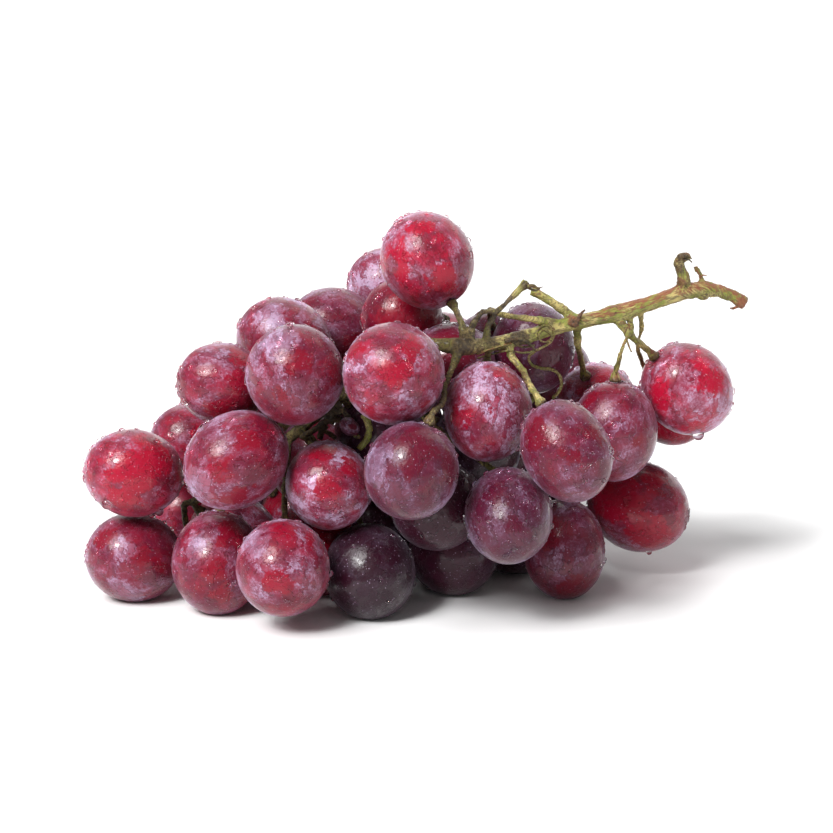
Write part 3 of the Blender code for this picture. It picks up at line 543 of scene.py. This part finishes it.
def model_drop(sides, rings, droop):
    """A drop of unit half width that lies flat on its base, with its height along Z."""
    bpy.ops.object.select_all(action="DESELECT")
    bpy.ops.mesh.primitive_uv_sphere_add(segments=sides, ring_count=rings, radius=1.0)
    drop = bpy.context.object
    bpy.ops.object.mode_set(mode="EDIT")
    shape = bmesh.from_edit_mesh(drop.data)
    for vertex in shape.verts:
        low = vertex.co.z < 0
        vertex.co.z *= 0.30 if low else 0.70
        if droop and not low:
            vertex.co.z *= 1.5
    bmesh.update_edit_mesh(drop.data)
    bpy.ops.object.mode_set(mode="OBJECT")
    corners = np.array([vertex.co for vertex in drop.data.vertices])
    faces = [tuple(face.vertices) for face in drop.data.polygons]
    bpy.data.objects.remove(drop, do_unlink=True)
    return corners, faces


class Drops:
    """Gathers drops of water, then makes one piece of them."""

    def __init__(self, grapes, sides, rings, droop=False):
        self.corners, self.faces = model_drop(sides, rings, droop)
        self.middles = np.array([shape[0] for shape in grapes.values()])
        self.widths = np.array([max(shape[2], shape[3]) for shape in grapes.values()])
        self.names = list(grapes)
        self.points, self.loops = [], []

    def blocked(self, name, spot, room):
        """Whether a neighbouring berry is too near for a drop there."""
        apart = np.linalg.norm(self.middles - np.array(spot), axis=1) - self.widths
        apart[self.names.index(name)] = 1
        return apart.min() < room or spot.z < room

    def add(self, spot, up, half, spin, stretch=1.0):
        """Adds a drop of that half width at a spot, with its height along up."""
        turn = np.array(up.to_track_quat("Z", "Y").to_matrix() @ Matrix.Rotation(spin, 3, "Z"))
        local = self.corners * np.array([half * stretch, half, half])
        base = len(self.points) * len(self.corners)
        self.points.append(local @ turn.T + np.array(spot))
        self.loops += [tuple(base + corner for corner in face) for face in self.faces]

    def make(self, name, material):
        """Makes one piece of all the drops."""
        mesh = bpy.data.meshes.new(name)
        mesh.from_pydata(np.concatenate(self.points).tolist(), [], self.loops)
        mesh.update()
        piece = bpy.data.objects.new(name, mesh)
        bpy.context.scene.collection.objects.link(piece)
        only_select(piece)
        bpy.ops.object.shade_smooth()
        mesh.materials.append(material)
        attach(piece, "root")


def make_water():
    """Clear water, which lets most of the light through to the skin under it."""
    material = bpy.data.materials.new("water")
    material.use_nodes = True
    tree = material.node_tree
    shader = tree.nodes["Principled BSDF"]
    shader.inputs["Base Color"].default_value = (1.0, 0.98, 0.99, 1)
    shader.inputs["Roughness"].default_value = 0.03
    shader.inputs["IOR"].default_value = 1.33
    shader.inputs["Transmission Weight"].default_value = 1.0
    path = add(tree, "ShaderNodeLightPath").outputs["Is Shadow Ray"]
    tree.links.new(math_node(tree, "MULTIPLY_ADD", path, -0.9, 1.0), shader.inputs["Alpha"])
    return material


def make_drops(grapes, pieces):
    """Fine drops all over the berries, most of them where the viewer sees them, and a few that hang."""
    draw = random.Random(DROP_SEED)
    water = make_water()
    small = Drops(grapes, 7, 5)
    for name, piece in pieces.items():
        middle = grapes[name][0]
        corners = piece.data.vertices
        seen = name in LOOKS
        wanted = DROPS_ALL_OVER + (DROPS_IN_VIEW if seen else 0)
        tries = 0
        placed = 0
        while placed < wanted and tries < wanted * TRIES_EACH:
            tries += 1
            spot = Vector(corners[draw.randrange(len(corners))].co)
            up = (spot - middle).normalized()
            towards = up.dot((EYE - spot).normalized())
            if seen and placed < DROPS_IN_VIEW and not -0.15 < towards < (0.35 if placed % 2 else 1.0):
                continue
            half = (DROP_SIZES[0] + (DROP_SIZES[1] - DROP_SIZES[0]) * draw.random() ** MOSTLY_SMALL) * MM
            if up.z < -0.5 or small.blocked(name, spot, half):
                continue
            placed += 1
            small.add(spot, up, half, draw.uniform(0, 6.28), draw.uniform(1.0, 1.7))
            trail = draw.randrange(LONGEST_TRAIL + 1) if draw.random() < TRAILS else 0
            heading = draw.uniform(0, 6.28)
            side = up.orthogonal().normalized()
            for _ in range(trail):
                heading += draw.uniform(-0.9, 0.9)
                step = side * math.cos(heading) + up.cross(side) * math.sin(heading)
                spot = spot + step * half * 1.1 - up * half * 0.06
                small.add(spot, up, half * draw.uniform(0.6, 1.0), heading, 1.3)
    small.make("water_beads", water)
    large = Drops(grapes, 18, 12, droop=True)
    for name, right, above, half in HANGING_DROPS:
        points = np.array([vertex.co for vertex in pieces[name].data.vertices])
        spot = nearest_to_sight(points, right, above)
        up = (spot - grapes[name][0]).normalized()
        large.add(spot, (up - Vector((0, 0, 0.45))).normalized(), half * MM, 0.0)
    large.make("hanging_drops", water)


# The stem's knots: to the right of and above the point that the viewer looks at, their reach and how far
# they stand out, in millimetres, and how dark and how rusty their bark is.
KNOTS = [
    (12.1, 18.6, 5.0, 0.50, 0.95, 0.20),
    (19.0, 19.8, 4.0, 0.10, 0.70, 0.15),
    (26.3, 20.9, 4.0, 0.25, 0.85, 0.10),
    (33.0, 22.0, 2.2, 0.30, 0.45, 0.25),
    (40.3, 24.8, 2.4, 0.40, 0.35, 0.75),
    (51.2, 27.6, 4.0, 0.45, 0.30, 0.30),
    (54.5, 23.4, 2.6, 0.10, 0.40, 0.10),
    (67.7, 34.3, 3.2, 0.35, 0.45, 0.80),
    (67.4, 38.4, 3.0, 0.00, 0.62, 0.45),
    (68.4, 41.4, 2.2, 0.00, 0.80, 0.25),
    (74.4, 31.4, 2.6, 0.30, 0.35, 0.10),
    (84.2, 28.9, 3.6, 0.10, 0.10, 1.00),
    (28.3, 33.6, 2.0, 0.35, 0.75, 0.20),
    (20.3, 24.9, 4.6, 0.00, 1.00, 0.00),
    (23.4, 29.4, 4.0, 0.00, 0.75, 0.05),
    (16.6, 25.6, 3.6, 0.00, 1.00, 0.00),
    (13.6, 23.2, 2.6, 0.00, 0.85, 0.00),
    (10.2, 25.4, 3.6, 0.00, 0.80, 0.25),
    (31.5, 32.5, 2.0, 0.15, 0.05, 0.80),
]
# Thin twigs, tendrils, scales and torn ends: points to the right of and above the point that the viewer
# looks at, and for some their depth, then the radius at the first and the last point, all in millimetres,
# then how dark and how rusty. A point without a depth lies on what the viewer sees there.
STRANDS = {
    "tendril_loop": (
        [
            (33.1, 22.3), (34.9, 20.5), (33.4, 18.4), (30.8, 17.1), (27.7, 16.4), (23.6, 16.9), (19.5, 16.1),
            (15.9, 15.1),
        ],
        0.34, 0.18, 0.40, 0.35,
    ),
    "tendril_curl": (
        [
            (33.9, 24.4), (35.4, 22.3), (34.9, 19.7), (32.6, 17.9), (30.3, 16.6), (29.0, 15.3), (29.6, 13.5),
            (31.8, 12.5), (34.4, 12.2), (36.5, 11.0), (37.3, 8.9), (36.8, 6.6), (35.2, 4.8),
        ],
        0.30, 0.44, 0.30, 0.35,
    ),
    "tendril_ball": (
        [
            (31.0, 20.2), (31.4, 22.4), (33.2, 23.6), (34.9, 22.4), (34.6, 20.2), (32.8, 19.2), (31.6, 20.6),
            (32.4, 22.2), (33.9, 21.8),
        ],
        0.24, 0.18, 0.40, 0.45,
    ),
    "dry_brush": ([(22.8, 19.4), (25.0, 20.1), (27.2, 19.6), (29.3, 18.6), (30.6, 17.1)], 0.60, 0.35, 0.75, 0.30),
    "dry_brush_side": ([(24.4, 19.6), (26.4, 18.2), (28.4, 17.9), (30.4, 18.4)], 0.35, 0.20, 0.55, 0.45),
    "dry_thread": ([(15.6, 15.9), (17.6, 16.9), (19.9, 17.6), (22.4, 18.4), (24.4, 18.9)], 0.20, 0.18, 0.10, 0.55),
    "red_scale": ([(40.2, 23.4), (41.3, 24.7), (42.0, 26.0), (43.3, 27.5)], 1.00, 0.22, 0.55, 1.00),
    "red_scale_low": ([(39.6, 24.4), (40.4, 23.6), (41.7, 23.4)], 0.90, 0.35, 0.50, 1.00),
    "twig_fray": ([(28.6, 33.5), (30.3, 33.6), (31.4, 33.1), (32.5, 33.4)], 0.55, 0.12, 0.55, 0.60),
    "twig_fray_low": ([(29.4, 32.9), (30.8, 32.5), (31.8, 32.9)], 0.40, 0.14, 0.60, 0.50),
    "spur_fray": ([(68.6, 41.1), (69.8, 41.5), (70.9, 40.6)], 0.45, 0.15, 0.75, 0.20),
    "spur_fray_low": ([(68.8, 40.3), (70.0, 40.4), (71.0, 39.7)], 0.40, 0.14, 0.85, 0.10),
    "spur_side_twig": ([(72.9, 35.6), (73.8, 36.4), (74.9, 36.2)], 0.28, 0.14, 0.20, 0.90),
    "spur_thread": ([(73.1, 36.2), (72.4, 37.4), (71.4, 38.6)], 0.24, 0.14, 0.20, 0.80),
    "torn_bark": ([(82.6, 28.3), (81.6, 27.8), (80.8, 27.9)], 0.50, 0.15, 0.30, 1.00),
    "stalk_link": ([(54.2, 19.8), (54.7, 18.2), (55.4, 16.6)], 0.22, 0.20, 0.40, 0.60),
    "inner_twig": (
        [(-20.4, 3.4, -26), (-19.2, 1.6, -27), (-17.9, 0.2, -28.5), (-17.0, -1.6, -29), (-17.4, -4.4, -29.5)],
        0.80, 0.60, 0.90, 0.0,
    ),
    "inner_twig_high": (
        [(-23.6, 1.2, -26), (-21.8, 1.5, -26), (-20.0, 1.3, -27), (-18.4, 1.6, -27.5)],
        1.05, 0.80, 0.90, 0.0,
    ),
    "inner_twig_low": (
        [(-25.4, -3.0, -25), (-23.4, -1.4, -26), (-21.2, -0.8, -26), (-18.6, -1.4, -28), (-17.0, -3.6, -29.5)],
        1.0, 0.70, 0.95, 0.0,
    ),
    "inner_stub": ([(-22.6, -1.4, -25.5), (-21.8, 0.6, -25.5), (-21.6, 2.6, -25.5)], 1.45, 1.30, 1.0, 0.1),
    "green_stalk": (
        [(-13.6, 0.6, -30.5), (-12.3, -2.4, -31), (-12.6, -5.4, -31), (-14.8, -8.4, -31)],
        0.95, 0.80, 0.10, 0.0,
    ),
    "shot_berry_stalk": ([(-14.6, -5.4, -31), (-15.6, -5.0, -30.8), (-16.4, -3.8, -30.4)], 0.50, 0.60, 0.55, 0.3),
    "left_twig": (
        [(-29.6, -5.4, -24), (-27.4, -4.0, -25), (-25.0, -3.2, -25.5), (-22.8, -4.2, -26), (-20.8, -5.6, -27)],
        0.75, 0.60, 0.75, 0.1,
    ),
    "left_stub": ([(-24.9, -5.6, -25.5), (-24.2, -3.4, -26), (-23.0, -2.4, -26.5)], 0.85, 0.60, 0.85, 0.2),
}
# How far a strand may lean back from one of its points to the next, in parts of their distance in sight.
LEAN = 0.65
STEM_VOXEL = 0.43 * MM
STEM_ROUNDING = 6
# For the way of a branch: the cells in which its normals are gathered, in millimetres, how often these are
# blurred, and how much of the length of a branch its ridges and lines leave out.
BRANCH_CELL = 1.6
BRANCH_BLURS = 4
DRAWN_OUT = 0.86
# The top of the main stem: to the right, in millimetres, and how high the rusty ridge lies there.
RIDGE_RIGHT = (30, 40, 51, 68, 74, 84)
RIDGE_HEIGHT = (61, 63, 66, 71, 70, 67)
STRAW = (0.60, 0.49, 0.175)
LEAF_GREEN = (0.27, 0.29, 0.045)
RUST = (0.31, 0.075, 0.038)
BROWN_BARK = (0.120, 0.070, 0.030)
DARK_BARK = (0.034, 0.021, 0.010)


def nearest_to_sight(points, right, above):
    """Of a list of points, the one that the viewer sees at (right, above): near that line, and in front."""
    ray = np.array(in_sight(right, above, 0) - EYE)
    ray /= np.linalg.norm(ray)
    offset = points - np.array(EYE)
    along = offset @ ray
    aside = np.linalg.norm(offset - np.outer(along, ray), axis=1)
    return Vector(points[(aside * 6 + along).argmin()])


def along_branches(points, normals, origin):
    """For each point, a place in millimetres that is drawn out along its branch, for lengthwise ridges.

    A branch runs square to the normals round it, so its way is the one that they share least. The places
    are counted from the origin, which lies on the middle of the main stem."""
    spots = points / MM / BRANCH_CELL
    spots = spots - spots.min(axis=0) + 2.0
    size = np.ceil(spots.max(axis=0)).astype(int) + 3
    pairs = [(0, 0), (1, 1), (2, 2), (0, 1), (0, 2), (1, 2)]
    grid = np.zeros((*size, 6))
    near = np.round(spots).astype(int)
    np.add.at(grid, tuple(near.T), np.stack([normals[:, i] * normals[:, j] for i, j in pairs], axis=1))
    for _ in range(BRANCH_BLURS):
        for way in range(3):
            grid = (np.roll(grid, 1, way) + 2 * grid + np.roll(grid, -1, way)) / 4
    low = np.floor(spots).astype(int)
    share = spots - low
    mixed = np.zeros((len(points), 6))
    for corner in np.ndindex(2, 2, 2):
        weight = np.prod(np.where(corner, share, 1 - share), axis=1)
        mixed += grid[tuple((low + corner).T)] * weight[:, None]
    form = np.empty((len(points), 3, 3))
    for n, (i, j) in enumerate(pairs):
        form[:, i, j] = form[:, j, i] = mixed[:, n]
    way = np.linalg.eigh(form)[1][:, :, 0]
    place = (points - origin) / MM
    return place - DRAWN_OUT * way * (way * place).sum(axis=1)[:, None]


def make_stem(grapes, bark):
    """The whole branched stem: round and uneven instead of faceted, with knots, ridges and bark."""
    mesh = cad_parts["stem"].data.copy()
    mesh.name = "branched_stem"
    mesh.materials.clear()
    stem = bpy.data.objects.new("branched_stem", mesh)
    bpy.context.scene.collection.objects.link(stem)
    only_select(stem)
    bpy.ops.object.mode_set(mode="EDIT")
    bpy.ops.mesh.select_all(action="SELECT")
    bpy.ops.mesh.remove_doubles(threshold=1e-6)
    bpy.ops.object.mode_set(mode="OBJECT")
    remesh = stem.modifiers.new("even_faces", "REMESH")
    remesh.mode = "VOXEL"
    remesh.voxel_size = STEM_VOXEL
    bpy.ops.object.modifier_apply(modifier=remesh.name)
    smooth = stem.modifiers.new("rounder", "SMOOTH")
    smooth.factor = 0.5
    smooth.iterations = STEM_ROUNDING
    bpy.ops.object.modifier_apply(modifier=smooth.name)
    mesh = stem.data
    count = len(mesh.vertices)
    points = np.empty(count * 3)
    mesh.vertices.foreach_get("co", points)
    points = points.reshape(-1, 3)
    normals = np.empty(count * 3, dtype=np.float32)
    mesh.vertex_normals.foreach_get("vector", normals)
    normals = normals.reshape(-1, 3).astype(float)
    origin = np.array(nearest_to_sight(points, 52.0, 27.0))
    bark_place = along_branches(points, normals, origin)
    rise = np.array([
        0.17 * noise.noise(Vector(p) / MM * 0.42)
        + 0.20 * noise.noise(Vector(q) * 0.95)
        + 0.10 * noise.noise(Vector(q) * 2.3)
        + 0.07 * noise.noise(Vector(p) / MM * 2.6)
        for p, q in zip(points, bark_place)
    ])
    right = points[:, 0] / MM
    on_top = np.clip((right - 30) / 15, 0, 1) * (points[:, 2] / MM > np.interp(right, RIDGE_RIGHT, RIDGE_HEIGHT))
    rise += 0.08 + 0.17 * on_top
    rust = np.clip((right - 30) / 26, 0, 0.75) * np.clip(0.10 + 0.9 * normals[:, 2] - 0.35 * normals[:, 1], 0, 1)
    # Darker towards the left, and darker on faces turned down, which is painted shade.
    dark = np.clip((34 - right) / 40, 0.08, 0.52) + np.clip(-normals[:, 2], 0, 1) * 0.12
    for knot_right, knot_above, reach, bulge, darker, rustier in KNOTS:
        centre = np.array(nearest_to_sight(points, knot_right, knot_above))
        share = np.exp(-((np.linalg.norm(points - centre, axis=1) / MM / reach) ** 2) * 1.6)
        rise += bulge * share
        dark = np.maximum(dark, darker * share)
        rust = np.maximum(rust, rustier * share)
    for middle, _, long, wide in grapes.values():
        apart = (np.linalg.norm(points - np.array(middle), axis=1) - (long + wide) / 2) / MM
        collar = np.clip((2.6 - apart) / 1.6, 0, 1)
        dark = np.maximum(dark, 0.55 * collar)
        rust = np.maximum(rust, 0.55 * collar)
    points = points + normals * (rise * MM)[:, None]
    points[:, 2] = np.maximum(points[:, 2], 0.0003)
    mesh.vertices.foreach_set("co", points.ravel())
    mesh.update()
    for name, values in (("rust", rust), ("dark", dark)):
        layer = mesh.attributes.new(name, "FLOAT", "POINT")
        layer.data.foreach_set("value", np.clip(values, 0, 1).astype(np.float32))
    layer = mesh.attributes.new("bark_place", "FLOAT_VECTOR", "POINT")
    layer.data.foreach_set("vector", bark_place.astype(np.float32).ravel())
    bpy.ops.object.shade_smooth()
    mesh.materials.append(bark)
    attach(stem, "root")
    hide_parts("stem")
    return stem


def eased(depths, points):
    """Brings depths forward, so that a strand leans back by no more than LEAN from one point to the next."""
    gaps = [math.dist(one[:2], other[:2]) * LEAN * MM for one, other in zip(points, points[1:])]
    for n, gap in enumerate(gaps):
        depths[n + 1] = min(depths[n + 1], depths[n] + gap)
    for n, gap in reversed(list(enumerate(gaps))):
        depths[n] = min(depths[n], depths[n + 1] + gap)


def draped(points, surfaces, corners, lift):
    """Points on the lines of sight through (right, above) that lie just in front of what is seen there.

    A strand that would start beside the stem is rooted on the nearest of the stem's corners."""
    depths = []
    for right, above, *depth in points:
        if depth:
            depths.append((in_sight(right, above, depth[0]) - EYE).length)
            continue
        way = (in_sight(right, above, 0) - EYE).normalized()
        hits = [surface.ray_cast(EYE, way) for surface in surfaces]
        found = [hit[3] for hit in hits if hit[3] is not None]
        depths.append(min(found) if found else None)
    root = None
    if depths[0] is None:
        root = nearest_to_sight(corners, *points[0])
        depths[0] = (root - EYE).length
    known = [depth for depth in depths if depth is not None]
    level = sum(known) / len(known)
    depths = [level if depth is None else depth for depth in depths]
    eased(depths, points)
    route = [root] if root else []
    for (right, above, *given), depth in zip(points, depths):
        way = (in_sight(right, above, 0) - EYE).normalized()
        route.append(EYE + way * (depth if given else depth - lift * MM))
    return route


def make_strand(name, route, first, last, dark, rust):
    """A thin uneven twig through the points of a route."""
    bpy.ops.object.select_all(action="DESELECT")
    bpy.ops.curve.primitive_bezier_curve_add(location=(0, 0, 0))
    strand = bpy.context.object
    strand.name = name
    line = strand.data
    spline = line.splines[0]
    spline.bezier_points.add(len(route) - 2)
    for n, (point, place) in enumerate(zip(spline.bezier_points, route)):
        point.co = place
        point.handle_left_type = point.handle_right_type = "AUTO"
        point.radius = first + (last - first) * n / (len(route) - 1)
    line.bevel_depth = MM
    line.bevel_resolution = 2
    line.resolution_u = 6
    line.use_fill_caps = True
    bpy.ops.object.convert(target="MESH")
    strand = bpy.context.object
    bpy.ops.object.mode_set(mode="EDIT")
    bpy.ops.mesh.select_all(action="SELECT")
    bpy.ops.mesh.remove_doubles(threshold=1e-6)
    bpy.ops.mesh.normals_make_consistent(inside=False)
    bpy.ops.object.mode_set(mode="OBJECT")
    mesh = strand.data
    for vertex, normal in zip(mesh.vertices, [corner.normal.copy() for corner in mesh.vertices]):
        vertex.co += normal * first * 0.30 * MM * noise.noise(vertex.co / MM * 1.1)
    for label, value in (("rust", rust), ("dark", dark)):
        layer = mesh.attributes.new(label, "FLOAT", "POINT")
        layer.data.foreach_set("value", np.full(len(mesh.vertices), value, dtype=np.float32))
    layer = mesh.attributes.new("bark_place", "FLOAT_VECTOR", "POINT")
    for spot, vertex in zip(layer.data, mesh.vertices):
        spot.vector = vertex.co / MM
    return strand


def make_strands(stem, skins, bark):
    """The thin dry twigs, tendrils and scales on the stem, as one piece."""
    surfaces = []
    for piece in [stem, *skins.values()]:
        corners = [vertex.co for vertex in piece.data.vertices]
        surfaces.append(BVHTree.FromPolygons(corners, [face.vertices for face in piece.data.polygons]))
    stem_corners = np.array([vertex.co for vertex in stem.data.vertices])
    made = []
    for name, (points, first, last, dark, rust) in STRANDS.items():
        route = draped(points, surfaces, stem_corners, max(first, last) * 0.6)
        made.append(make_strand(name, route, first, last, dark, rust))
    only_select(*made)
    bpy.ops.object.join()
    piece = bpy.context.object
    piece.name = "twigs_and_tendrils"
    bpy.ops.object.shade_smooth()
    piece.data.materials.clear()
    piece.data.materials.append(bark)
    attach(piece, "root")


def make_bark():
    """Green to straw-coloured bark with fine ridges, rusty where the sun was, dark at the knots, and on the main stem
    with painted shade on its undersides.
    """
    material = bpy.data.materials.new("grape_stem_bark")
    material.use_nodes = True
    tree = material.node_tree
    shader = tree.nodes["Principled BSDF"]
    place = add(tree, "ShaderNodeTexCoord").outputs["Object"]
    drawn = add(tree, "ShaderNodeAttribute", attribute_name="bark_place").outputs["Vector"]
    rust = add(tree, "ShaderNodeAttribute", attribute_name="rust").outputs["Fac"]
    dark = add(tree, "ShaderNodeAttribute", attribute_name="dark").outputs["Fac"]
    broad = noise_node(tree, place, 190.0, 4.0, 0.6)
    streaks = noise_node(tree, drawn, 1.5, 5.0, 0.70)
    lines = noise_node(tree, drawn, 2.9, 4.0, 0.62)
    grain = noise_node(tree, place, 1250.0, 6.0, 0.76)
    fresh = blend_colours(tree, remap(tree, broad, 0.40, 0.60), STRAW, LEAF_GREEN)
    line_here = remap(tree, lines, 0.46, 0.58, 0.0, 0.88)
    lined = blend_colours(tree, line_here, fresh, between(STRAW, DARK_BARK, 0.78))
    rusty = math_node(tree, "MULTIPLY_ADD", rust, 1.1, math_node(tree, "MULTIPLY_ADD", streaks, 3.0, -1.80))
    reddened = blend_colours(tree, remap(tree, rusty, 0.10, 0.55, 0.0, 0.85), lined, RUST)
    age = math_node(tree, "MULTIPLY_ADD", dark, 1.30, math_node(tree, "MULTIPLY_ADD", streaks, 2.4, -1.35))
    aged = blend_colours(tree, remap(tree, age, 0.05, 0.75, 0.0, 0.85), reddened, BROWN_BARK)
    shade = math_node(tree, "MULTIPLY_ADD", dark, 1.10, math_node(tree, "MULTIPLY_ADD", grain, 4.2, -2.45))
    shaded = blend_colours(tree, remap(tree, shade, 0.0, 0.80, 0.0, 0.92), aged, DARK_BARK)
    tree.links.new(shaded, shader.inputs["Base Color"])
    tree.links.new(remap(tree, grain, 0.3, 0.7, 0.36, 0.66, soft=False), shader.inputs["Roughness"])
    height = math_node(tree, "MULTIPLY_ADD", grain, 0.8, lines)
    bump = add(tree, "ShaderNodeBump", {"Height": height, "Strength": 1.0, "Distance": 0.0005})
    tree.links.new(bump.outputs[0], shader.inputs["Normal"])
    shader.inputs["Subsurface Weight"].default_value = 0.08
    shader.inputs["Subsurface Scale"].default_value = 0.001
    shader.inputs["Coat Weight"].default_value = 0.15
    shader.inputs["Coat Roughness"].default_value = 0.2
    return material


# The lights: the side that they come from, their strength and how many degrees they span.
SUNS = [
    ("key_light", (-0.50, -0.52, 0.78), 3.3, 36),
    ("small_window", (-0.46, -0.62, 0.72), 1.2, 11),
    ("back_light", (0.30, 0.9, 0.60), 1.3, 75),
]
ROOM_LIGHT = 0.27
FLOOR_SIZE = 14
FLOOR_HEIGHT = -0.0002


def make_floor():
    """A plain pale floor, wide enough for every view."""
    bpy.ops.mesh.primitive_plane_add(size=FLOOR_SIZE, location=(0, 0, FLOOR_HEIGHT))
    floor = bpy.context.object
    floor.name = "floor"
    material = bpy.data.materials.new("pale_floor")
    material.use_nodes = True
    shader = material.node_tree.nodes["Principled BSDF"]
    shader.inputs["Base Color"].default_value = (0.90, 0.90, 0.90, 1)
    shader.inputs["Roughness"].default_value = 0.9
    shader.inputs["Specular IOR Level"].default_value = 0.1
    floor.data.materials.append(material)


def add_sun(name, side, strength, spread):
    """An even light from one side, as wide as a softbox that spans that many degrees."""
    lamp = bpy.data.lights.new(name, "SUN")
    lamp.energy = strength
    lamp.angle = math.radians(spread)
    holder = bpy.data.objects.new(name, lamp)
    holder.rotation_euler = (-Vector(side)).to_track_quat("-Z", "Y").to_euler()
    bpy.context.scene.collection.objects.link(holder)


def make_studio():
    """The lights, the white room and the viewer's camera."""
    for name, side, strength, spread in SUNS:
        add_sun(name, side, strength, spread)
    world = bpy.data.worlds.new("white_room")
    world.use_nodes = True
    sky = world.node_tree.nodes["Background"]
    sky.inputs["Color"].default_value = (1, 1, 1, 1)
    sky.inputs["Strength"].default_value = ROOM_LIGHT
    bpy.context.scene.world = world
    bpy.context.scene.view_settings.view_transform = "Standard"
    lens = bpy.data.cameras.new("viewer")
    lens.lens = LENS
    lens.sensor_width = FILM
    lens.clip_start = 0.01
    lens.clip_end = 30
    viewer = bpy.data.objects.new("viewer", lens)
    viewer.location = EYE
    viewer.rotation_euler = FORWARD.to_track_quat("-Z", "Y").to_euler()
    bpy.context.scene.collection.objects.link(viewer)
    bpy.context.scene.camera = viewer


make_studio()
make_floor()
grapes, skins = make_grapes()
bark = make_bark()
branches = make_stem(grapes, bark)
make_strands(branches, skins, bark)
make_drops(grapes, skins)
